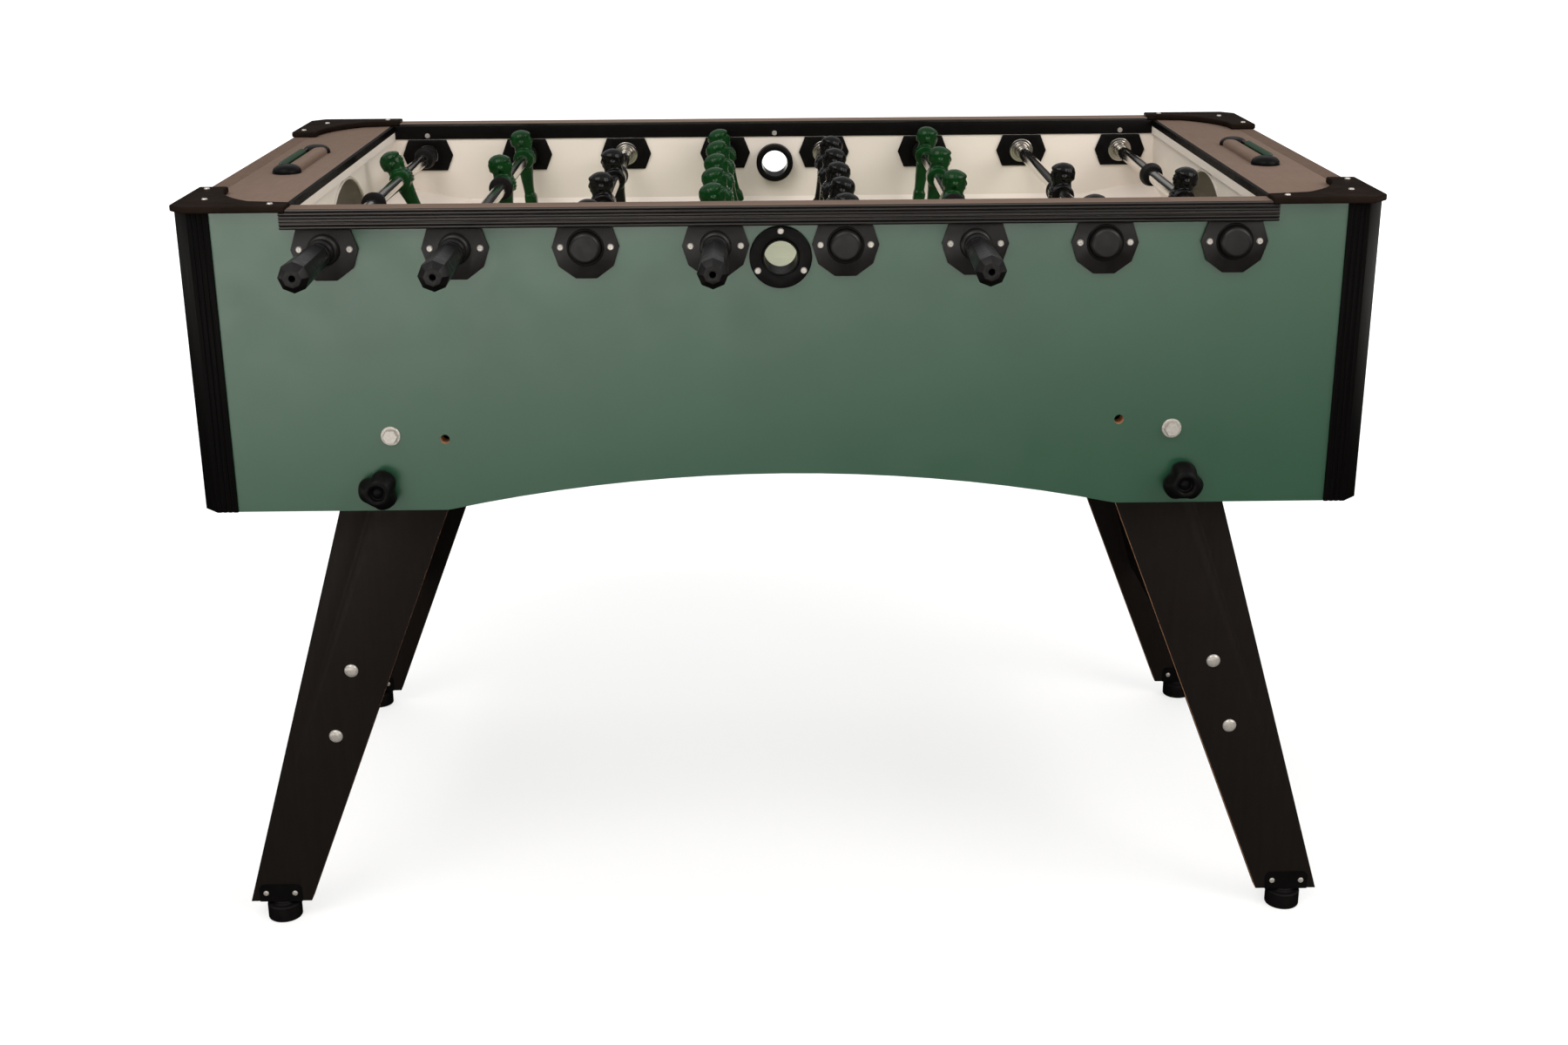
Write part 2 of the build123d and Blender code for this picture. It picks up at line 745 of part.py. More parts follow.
# Bright metal on the cabinet: screws, pivot bolts, and collars where the rods meet the walls
plate_screws = [
    (x + shift, rod_height)
    for x in rod_x
    for shift in (-plate_screw_spacing / 2, plate_screw_spacing / 2)
]
entry_screws = [
    (
        entry_screw_circle / 2 * math.cos(math.radians(angle)),
        entry_height + entry_screw_circle / 2 * math.sin(math.radians(angle)),
    )
    for angle in (90, 210, 330)
]
rail_screws = [
    (place * (end_top_inner - rail_screw_inset), panel_top + rail_screw_height)
    for place in (-1, 0, 1)
]
cap_screws = [
    (cap_x - inset, cap_y - drop)
    for inset, drop in (cap_screw_side, cap_screw_corner, cap_screw_front)
]
with BuildPart() as metal_fittings:
    for side in (first_side, second_side):
        for rod, x in zip(rods, rod_x):
            is_open = side == rod[0]
            proud = collar_proud if is_open else 0.0
            bore = collar_diameter - 2 * collar_wall if is_open else shaft_diameter + 2 * running_fit
            with BuildSketch(upright(side * panel_inner)):
                with Locations((x, rod_height)):
                    Circle(collar_diameter / 2)
                    Circle(bore / 2, mode=Mode.SUBTRACT)
            extrude(amount=-outward(side, inner_plate_thickness + proud))
        with BuildSketch(upright(side * (panel_face + plate_thickness))):
            with Locations(*plate_screws):
                Circle(screw_diameter / 2)
        extrude(amount=outward(side, screw_height))
        with BuildSketch(upright(side * (panel_face + entry_flange_thickness))):
            with Locations(*entry_screws):
                Circle(screw_diameter / 2)
        extrude(amount=outward(side, screw_height))
        with BuildSketch(upright(side * rail_inner)):
            with Locations(*rail_screws):
                Circle(screw_diameter / 2)
        extrude(amount=-outward(side, screw_height))
        with BuildSketch(upright(side * panel_face)):
            with Locations(*pivots):
                Circle(pivot_washer_diameter / 2)
        extrude(amount=outward(side, pivot_washer_thickness))
        with BuildSketch(upright(side * (panel_face + pivot_washer_thickness))):
            with Locations(*pivots):
                RegularPolygon(pivot_head_width / 2, 6, major_radius=False)
        extrude(amount=outward(side, pivot_head_height))
        with BuildSketch(upright(side * panel_face)):
            with Locations(*pivots):
                Circle(pivot_bolt_diameter / 2)
        extrude(amount=-outward(side, panel_face - leg_inner + side_clearance))
        with BuildSketch(upright(side * (leg_inner - side_clearance))):
            with Locations(*pivots):
                RegularPolygon(pivot_head_width / 2, 6, major_radius=False)
        extrude(amount=-outward(side, pivot_nut_height))
        with BuildSketch(Plane.XY.offset(cap_top)):
            for sign in (-1, 1):
                with Locations(*[(sign * x, side * y) for x, y in cap_screws]):
                    Circle(screw_diameter / 2)
        extrude(amount=screw_height / 2)
metal_fittings.part.label = "metal_fittings"
export_step(metal_fittings.part, "parts/metal_fittings.step")


def leg_frame(sign):
    """Two tapered leg boards and the stretcher between them."""
    outline = [
        (sign * leg_foot_outer, leg_bottom),
        (sign * leg_foot_inner, leg_bottom),
        (sign * leg_edge(leg_foot_inner, leg_neck_inner, leg_top), leg_top),
        (sign * leg_edge(leg_foot_outer, leg_neck_outer, leg_top), leg_top),
    ]
    with BuildPart() as boards:
        for side in (first_side, second_side):
            with BuildSketch(upright(side * leg_outer)):
                board = Polygon(*outline, align=None)
                fillet(board.vertices().group_by(Axis.Y)[-1], leg_top_radius)
                with Locations((sign * leg_pivot_offset, leg_pivot_height)):
                    Circle(pivot_bolt_diameter / 2 + running_fit, mode=Mode.SUBTRACT)
                with Locations(lock_place(sign, lock_angle)):
                    Circle(lock_hole_diameter / 2, mode=Mode.SUBTRACT)
            extrude(amount=-outward(side, leg_thickness))
            with BuildSketch(Plane.XY.offset(leg_bottom)):
                with Locations((sign * foot_offset, side * leg_middle)):
                    Circle(foot_stem_diameter / 2 + running_fit)
            extrude(amount=foot_stem_reach + axial_gap, mode=Mode.SUBTRACT)
    with BuildPart() as stretcher:
        with BuildSketch(upright(-leg_inner)):
            with Locations(leg_point(sign, stretcher_reach, stretcher_inset)):
                Rectangle(stretcher_thickness, stretcher_width, rotation=sign * leg_tilt)
        extrude(amount=-2 * leg_inner)
    return Compound(boards.part.solids() + stretcher.part.solids())


def leg_hardware(sign):
    """Spacers at the pivots, dome bolts of the stretcher and brackets at the feet."""
    bolts = [
        leg_point(sign, stretcher_reach + shift, stretcher_inset)
        for shift in (-dome_bolt_spacing / 2, dome_bolt_spacing / 2)
    ]
    foot_middle = sign * (leg_foot_outer + leg_foot_inner) / 2
    screws = [
        (foot_middle + shift, leg_bottom + bracket_height / 2)
        for shift in (-bracket_screw_spacing / 2, bracket_screw_spacing / 2)
    ]
    with BuildPart() as hardware:
        for side in (first_side, second_side):
            with BuildSketch(upright(side * leg_outer)):
                with Locations((sign * leg_pivot_offset, leg_pivot_height)):
                    Circle(pivot_spacer_diameter / 2)
                    Circle(pivot_bolt_diameter / 2 + running_fit, mode=Mode.SUBTRACT)
            extrude(amount=outward(side, leg_side_gap - side_clearance))
            with BuildSketch(upright(side * leg_outer)):
                with Locations(*bolts):
                    Circle(dome_bolt_diameter / 2)
            extrude(amount=outward(side, dome_bolt_height))
            with BuildSketch(upright(side * leg_outer)):
                with Locations((foot_middle, leg_bottom + bracket_height / 2)):
                    Rectangle(bracket_width, bracket_height)
            extrude(amount=outward(side, bracket_thickness))
            with BuildSketch(upright(side * (leg_outer + bracket_thickness))):
                with Locations(*screws):
                    Circle(screw_diameter / 2)
            extrude(amount=outward(side, bracket_screw_height))
    return hardware.part


def foot(sign, side):
    """One screw foot: a round pad with a stem up into the leg."""
    with BuildPart() as piece:
        with BuildSketch():
            with Locations((sign * foot_offset, side * leg_middle)):
                Circle(foot_diameter / 2)
        extrude(amount=foot_pad_height)
        fillet(piece.edges().filter_by(GeomType.CIRCLE), foot_edge)
        with BuildSketch(Plane.XY.offset(foot_pad_height)):
            with Locations((sign * foot_offset, side * leg_middle)):
                Circle(foot_neck_diameter / 2)
        extrude(amount=leg_bottom - side_clearance - foot_pad_height)
        with BuildSketch(Plane.XY.offset(foot_pad_height)):
            with Locations((sign * foot_offset, side * leg_middle)):
                Circle(foot_stem_diameter / 2)
        extrude(amount=leg_bottom + foot_stem_reach - foot_pad_height)
    return piece.part


def lock_knobs(sign):
    """The two lobed knobs of one leg frame, with stems through the long panels."""
    place = lock_place(sign, lock_angle)
    with BuildPart() as knobs:
        for side in (first_side, second_side):
            with BuildSketch(upright(side * (panel_face + knob_face - knob_height))):
                with Locations(place):
                    Circle(knob_diameter / 2)
                    with PolarLocations(knob_notch_circle / 2, knob_notches):
                        Circle(knob_notch_diameter / 2, mode=Mode.SUBTRACT)
            extrude(amount=outward(side, knob_height))
            with BuildSketch(upright(side * (panel_face + knob_seat_gap))):
                with Locations(place):
                    Circle(knob_neck_diameter / 2)
            extrude(amount=outward(side, knob_face - knob_height - knob_seat_gap))
            with BuildSketch(upright(side * panel_inner)):
                with Locations(place):
                    Circle(lock_hole_diameter / 2 - running_fit)
            extrude(amount=outward(side, panel_thickness + knob_seat_gap))
    return knobs.part


for sign, hand in ((-1, "left"), (1, "right")):
    frame = leg_frame(sign)
    frame.label = f"{hand}_leg_frame"
    export_step(frame, f"parts/{hand}_leg_frame.step")
    hardware = leg_hardware(sign)
    hardware.label = f"{hand}_leg_hardware"
    export_step(hardware, f"parts/{hand}_leg_hardware.step")
    knobs = lock_knobs(sign)
    knobs.label = f"{hand}_lock_knobs"
    export_step(knobs, f"parts/{hand}_lock_knobs.step")
    for side, place in ((first_side, "front"), (second_side, "back")):
        pad = foot(sign, side)
        pad.label = f"{place}_{hand}_foot"
        export_step(pad, f"parts/{place}_{hand}_foot.step")

# One man, facing +X on a tube along Y through the origin
with BuildPart() as man:
    with BuildSketch(upright(-man_width / 2)):
        Circle(man_collar_diameter / 2)
    extrude(amount=-man_width)
    with Locations((0, 0, man_head_rise)):
        Sphere(man_head_diameter / 2)
    ankle = man_foot_height - man_reach
    with BuildSketch(Plane.XY.offset(ankle)):
        Rectangle(man_ankle_depth, man_ankle_width)
    with BuildSketch(Plane.XY.offset(-man_waist_drop)):
        Rectangle(man_waist_depth, man_foot_width)
    loft(ruled=True)
    with BuildSketch(Plane.XY.offset(-man_reach)):
        with Locations(((man_foot_front - man_foot_back) / 2, 0)):
            Rectangle(man_foot_front + man_foot_back, man_foot_width)
    extrude(amount=man_foot_height)
    with BuildSketch(upright(-man_width / 2)):
        Circle(tube_diameter / 2)
    extrude(amount=-man_width, mode=Mode.SUBTRACT)

# One bumper, its wide end toward +Y
with BuildPart() as bumper:
    with BuildSketch(Plane.XY):
        with BuildLine():
            Polyline(
                (tube_diameter / 2, -bumper_length / 2),
                (bumper_small_diameter / 2, -bumper_length / 2),
                (bumper_diameter / 2, bumper_length / 2),
                (tube_diameter / 2, bumper_length / 2),
                close=True,
            )
        make_face()
    revolve(axis=Axis.Y)

# One grip, its neck at the origin and its end toward -Y
with BuildPart() as grip:
    with BuildSketch(Plane.XY):
        with BuildLine():
            Polyline(
                (0, 0),
                (grip_neck_diameter / 2, 0),
                (grip_neck_diameter / 2, -grip_ring_length),
                (grip_waist_diameter / 2, -grip_waist_start),
                (grip_waist_diameter / 2, -grip_waist_end),
                (grip_small_diameter / 2, -grip_neck_length),
                (0, -grip_neck_length),
                close=True,
            )
        make_face()
    revolve(axis=Axis.Y)
    with BuildSketch(upright(-grip_neck_length)):
        RegularPolygon(grip_small_diameter / 2, grip_sides)
    with BuildSketch(upright(grip_bevel - grip_length)):
        RegularPolygon(grip_large_diameter / 2, grip_sides)
    loft(ruled=True)
    with BuildSketch(upright(grip_bevel - grip_length)):
        RegularPolygon(grip_large_diameter / 2, grip_sides)
    with BuildSketch(upright(-grip_length)):
        RegularPolygon(grip_large_diameter / 2 - grip_bevel, grip_sides)
    loft(ruled=True)
    with BuildSketch(Plane.XZ):
        Circle(tube_diameter / 2)
    extrude(amount=grip_socket, mode=Mode.SUBTRACT)
    with BuildSketch(Plane.XZ):
        Circle(grip_hole_diameter / 2)
    extrude(amount=grip_length, mode=Mode.SUBTRACT)

# Rods: a thin shaft held in the far bearing, and the tube with its men, bumpers and grip
for number, (rod, x) in enumerate(zip(rods, rod_x), start=1):
    side, count, room, lean = rod
    slide = rod_slide(rod)
    neck = boss_face + grip_gap + room
    tube_end = bumper_offset(count) + bumper_length / 2 - side * slide

    with BuildPart() as shaft:
        with BuildSketch(upright(side * shaft_reach)):
            with Locations((x, rod_height)):
                Circle(shaft_diameter / 2)
        extrude(amount=outward(-side, shaft_reach + panel_inner + socket_depth - axial_gap))
    shaft.part.label = f"rod_{number}_shaft"
    export_step(shaft.part, f"parts/rod_{number}_shaft.step")

    with BuildPart() as tube:
        with BuildSketch(upright(side * (neck + grip_socket))):
            with Locations((x, rod_height)):
                Circle(tube_diameter / 2)
                Circle(shaft_diameter / 2 + running_fit, mode=Mode.SUBTRACT)
        extrude(amount=outward(-side, neck + grip_socket + tube_end))
    tube.part.label = f"rod_{number}_tube"
    export_step(tube.part, f"parts/rod_{number}_tube.step")

    with BuildPart() as men:
        turn = 0 if side == first_side else 180
        for offset in man_offsets(count):
            with Locations((x, slide + offset, rod_height)):
                add(man.part, rotation=(0, lean, turn))
    men.part.label = f"rod_{number}_men"
    export_step(men.part, f"parts/rod_{number}_men.step")

    with BuildPart() as grip_and_bumpers:
        for end, turn in ((1, 0), (-1, 180)):
            with Locations((x, slide + end * bumper_offset(count), rod_height)):
                add(bumper.part, rotation=(0, 0, turn))
        with Locations((x, side * neck, rod_height)):
            add(grip.part, rotation=(0, 0, 0 if side == first_side else 180))
    grip_and_bumpers.part.label = f"rod_{number}_grip_bumpers"
    export_step(grip_and_bumpers.part, f"parts/rod_{number}_grip_bumpers.step")
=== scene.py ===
"""Looks of a folding football table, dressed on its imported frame.

Metres, X along the table, Y from the front to the back, Z up from the floor.
Outlines that are turned round an axis are lists of points in millimetres.
"""

import json
import math

import bmesh
import bpy
from bpy.props import FloatProperty, FloatVectorProperty, IntProperty, PointerProperty
from mathutils import Matrix, Vector


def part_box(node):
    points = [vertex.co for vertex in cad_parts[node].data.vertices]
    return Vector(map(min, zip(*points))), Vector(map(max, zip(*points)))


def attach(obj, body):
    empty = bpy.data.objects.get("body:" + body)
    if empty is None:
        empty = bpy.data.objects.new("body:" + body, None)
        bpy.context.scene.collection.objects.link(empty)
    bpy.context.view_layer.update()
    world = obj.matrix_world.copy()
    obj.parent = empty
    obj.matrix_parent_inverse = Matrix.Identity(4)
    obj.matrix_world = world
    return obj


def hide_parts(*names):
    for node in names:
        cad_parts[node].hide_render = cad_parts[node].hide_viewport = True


bl_info = {
    "name": "Football table",
    "version": (1, 0, 0),
    "blender": (4, 5, 0),
    "location": "View3D > Sidebar > Table",
    "description": "Builds the finishes and fittings of a folding football table",
    "category": "Object",
}

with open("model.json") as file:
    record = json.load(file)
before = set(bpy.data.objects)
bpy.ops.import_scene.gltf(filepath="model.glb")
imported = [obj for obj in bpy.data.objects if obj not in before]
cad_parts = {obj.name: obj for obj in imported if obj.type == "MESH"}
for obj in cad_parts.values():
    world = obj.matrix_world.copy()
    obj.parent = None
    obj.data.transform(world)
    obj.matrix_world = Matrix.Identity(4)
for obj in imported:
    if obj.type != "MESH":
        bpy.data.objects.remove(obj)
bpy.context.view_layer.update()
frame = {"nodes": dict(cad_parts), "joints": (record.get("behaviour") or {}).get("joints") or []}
CABINET = "cabinet"
MM = 0.001

# Levels closer than this count as one
TOUCH = 0.1 * MM

# Front and back, or left and right
SIDES = (-1, 1)

# Stretch of a pattern that is the same in all directions
EVEN = (1.0, 1.0, 1.0)

# Range that holds most of a noise pattern
MOST = (0.3, 0.7)

# Share of a face's normal from which the face looks along an axis
LOOKS_ALONG = 0.5

# Each rod: team, number of men, spacing of the men, lean of the heads toward +X in degrees
RODS = [
    ("green", 1, 0.0, -25.0),
    ("green", 2, 0.245, -6.0),
    ("black", 3, 0.205, -8.0),
    ("green", 5, 0.123, -16.0),
    ("black", 5, 0.123, 12.0),
    ("green", 3, 0.205, 8.0),
    ("black", 2, 0.245, 0.0),
    ("black", 1, 0.0, 5.0),
]

# Each lamp: name, place, target, width and height, power, whether shiny pieces show it
LAMPS = [
    ("key", (-1.6, -2.8, 4.2), (0.0, 0.0, 0.8), (2.6, 2.6), 85.0, True),
    ("fill", (3.4, -2.6, 3.0), (0.0, 0.1, 0.8), (2.6, 2.6), 95.0, True),
    ("back", (0.0, 1.6, 4.4), (0.0, 0.0, 0.8), (2.6, 2.0), 25.0, False),
    ("low_front", (-1.0, -5.4, 1.0), (0.0, -0.37, 0.7), (5.0, 1.8), 120.0, False),
    ("low_rear", (1.0, 5.4, 1.0), (0.0, 0.37, 0.7), (5.0, 1.8), 120.0, False),
]


def tone(red, green, blue):
    """Scene colour of an 8-bit screen colour."""
    linear = []
    for level in (red, green, blue):
        share = level / 255
        linear.append(share / 12.92 if share <= 0.04045 else ((share + 0.055) / 1.055) ** 2.4)
    return tuple(linear)


def colour(label, words, red, green, blue):
    """One colour that a user may change."""
    return FloatVectorProperty(
        name=label, description=words, subtype="COLOR", size=3, min=0.0, max=1.0,
        default=tone(red, green, blue),
    )


def length(label, words, millimetres):
    """One size that a user may change."""
    return FloatProperty(
        name=label, description=words, unit="LENGTH", subtype="DISTANCE", min=0.0,
        default=millimetres * MM,
    )


class TableColours(bpy.types.PropertyGroup):
    """Colours of the table's finishes."""

    panel_green: colour("Panel green", "Laminate of the long and end panels", 31, 67, 47)
    top_taupe: colour("Top taupe", "Laminate of the end boards and rail strips", 109, 91, 80)
    wall_white: colour("Wall white", "Inside walls and ramps", 225, 215, 205)
    field_green: colour("Field green", "Playing field", 172, 174, 150)
    profile_black: colour("Profile black", "Posts and edge strips", 9, 8, 8)
    cap_black: colour("Cap black", "Corner caps", 28, 21, 17)
    plastic_black: colour("Plastic black", "Outer bearing plates and counter wires", 17, 14, 13)
    ring_black: colour("Ring black", "Ball entries, wall plates, brackets and knobs", 10, 9, 9)
    rail_black: colour("Rail black", "Grooved rails and board sides", 73, 70, 68)
    grip_black: colour("Grip black", "Grips, bumpers and feet", 12, 10, 10)
    leg_black: colour("Leg black", "Leg boards", 25, 21, 19)
    raw_edge: colour("Raw edge", "Uncovered edges of holes and leg boards", 180, 132, 94)
    team_green: colour("Team green", "Men of the first team", 5, 46, 13)
    team_black: colour("Team black", "Men of the second team", 7, 6, 6)
    bead_green: colour("Bead green", "Score beads", 8, 42, 18)
    goal_grey: colour("Goal grey", "Goal cups, rims and pockets", 190, 180, 170)
    chrome: colour("Chrome", "Rod tubes and shafts", 214, 211, 206)
    zinc: colour("Zinc", "Screws, bolts and collars", 198, 192, 184)


class TableSizes(bpy.types.PropertyGroup):
    """Sizes of the edges and fittings."""

    cap_edge: length("Cap edge", "Rounding of the corner caps", 2.4)
    plate_edge: length("Plate edge", "Rounding of the bearing plates", 0.9)
    board_edge: length("Board edge", "Rounding of the boards", 0.8)
    profile_edge: length("Profile edge", "Rounding of the rails and posts", 0.4)
    ring_edge: length("Ring edge", "Rounding of the ball entries", 1.6)
    grip_edge: length("Grip edge", "Rounding of the grips", 1.1)
    dome_span: length("Dome span", "Solids of the leg hardware narrower than this are domed bolts", 20.0)
    spacer_span: length("Spacer span", "Wider than that and narrower than this they are spacers", 50.0)
    bracket_thickness: length("Bracket thickness", "Thickness of the foot brackets", 1.5)
    bracket_screws: length("Bracket screws", "Spacing of the two screws of a bracket", 37.0)
    bracket_corner: length("Bracket corner", "Corner radius of the foot brackets", 7.0)
    knob_notch: FloatProperty(
        name="Knob notch", description="Depth of a notch as a share of the radius", min=0.0, max=0.5,
        default=0.24,
    )
    foot_edge: length("Foot edge", "Rounding of the feet", 1.2)
    screw_radius: length("Screw radius", "Radius of a screw head", 3.8)
    screw_height: length("Screw height", "Height of a screw head", 1.7)
    cross_width: length("Cross width", "Width of the recess in a screw head", 0.9)
    rib_width: length("Rib width", "Width of one rib on the end boards", 1.5)
    rib_height: length("Rib height", "Height of one rib on the end boards", 0.5)
    rib_count: IntProperty(name="Rib count", description="Ribs on each end board", min=1, default=8)
    strip_setback: length("Strip setback", "Step from the rail's end to the strip's end", 8.2)
    rail_rib: length("Rail rib", "Side of one rib on the rails", 2.1)
    bead_radius: length("Bead radius", "Radius of a score bead", 5.5)
    bead_length: length("Bead length", "Length of a score bead", 11.5)
    rim_radius: length("Rim radius", "Thickness of the rim round a goal", 2.2)
    man_grain: length("Man grain", "Mesh size of the men", 1.2)


def wire(tree, *pairs):
    """Links sockets two by two."""
    for source, target in pairs:
        tree.links.new(source, target)


def worked(tree, operation, *values):
    """Math node on linked sockets and plain numbers."""
    node = tree.nodes.new("ShaderNodeMath")
    node.operation = operation
    for socket, value in zip(node.inputs, values):
        if isinstance(value, float):
            socket.default_value = value
        else:
            tree.links.new(value, socket)
    return node.outputs[0]


def mapped(tree, source, *limits):
    """Maps a value from one range onto another: both limits of the first, then of the second."""
    node = tree.nodes.new("ShaderNodeMapRange")
    for socket, limit in zip(("From Min", "From Max", "To Min", "To Max"), limits):
        node.inputs[socket].default_value = limit
    tree.links.new(source, node.inputs["Value"])
    return node.outputs["Result"]


class Finish:
    """One material, built up from node layers on object coordinates."""

    def __init__(self, name, base, roughness, metallic=0.0, specular=0.5):
        self.material = bpy.data.materials.new(name)
        self.material.use_nodes = True
        self.material.diffuse_color = (*base, 1.0)
        self.tree = self.material.node_tree
        self.shader = self.tree.nodes["Principled BSDF"]
        self.base = tuple(base)
        self.put("Base Color", (*base, 1.0))
        self.put("Roughness", roughness)
        self.put("Metallic", metallic)
        self.put("Specular IOR Level", specular)
        self.place = self.tree.nodes.new("ShaderNodeTexCoord").outputs["Object"]

    def put(self, socket, value):
        """Sets a constant on the shader."""
        self.shader.inputs[socket].default_value = value

    def drive(self, socket, source):
        """Links a pattern to the shader."""
        self.tree.links.new(source, self.shader.inputs[socket])

    def noise(self, scale, stretch=EVEN, detail=3.0, roughness=0.55):
        """Cloudy pattern; stretch below 1 draws it out along that axis."""
        turn = self.tree.nodes.new("ShaderNodeMapping")
        turn.inputs["Scale"].default_value = stretch
        cloud = self.tree.nodes.new("ShaderNodeTexNoise")
        for socket, value in (("Scale", scale), ("Detail", detail), ("Roughness", roughness)):
            cloud.inputs[socket].default_value = value
        wire(self.tree, (self.place, turn.inputs["Vector"]), (turn.outputs["Vector"], cloud.inputs["Vector"]))
        return cloud.outputs["Fac"]

    def tint(self, source, dark, light):
        """Varies the base colour between two brightness shares."""
        ramp = self.tree.nodes.new("ShaderNodeValToRGB")
        for stop, position, share in zip(ramp.color_ramp.elements, MOST, (dark, light)):
            stop.position = position
            stop.color = (*[min(1.0, level * share) for level in self.base], 1.0)
        self.tree.links.new(source, ramp.inputs["Fac"])
        self.drive("Base Color", ramp.outputs["Color"])

    def sheen(self, source, low, high):
        """Varies the roughness between two values."""
        self.drive("Roughness", mapped(self.tree, source, *MOST, low, high))

    def relief(self, source, depth, strength):
        """Adds relief of a depth in millimetres."""
        node = self.tree.nodes.new("ShaderNodeBump")
        node.inputs["Strength"].default_value = strength
        node.inputs["Distance"].default_value = depth * MM
        self.tree.links.new(source, node.inputs["Height"])
        self.drive("Normal", node.outputs["Normal"])

    def layers(self, tint, sheen, relief):
        """Lays on three patterns, each a noise and its two values, and returns the material."""
        for lay, (pattern, first, second) in ((self.tint, tint), (self.sheen, sheen), (self.relief, relief)):
            lay(self.noise(*pattern), first, second)
        return self.material


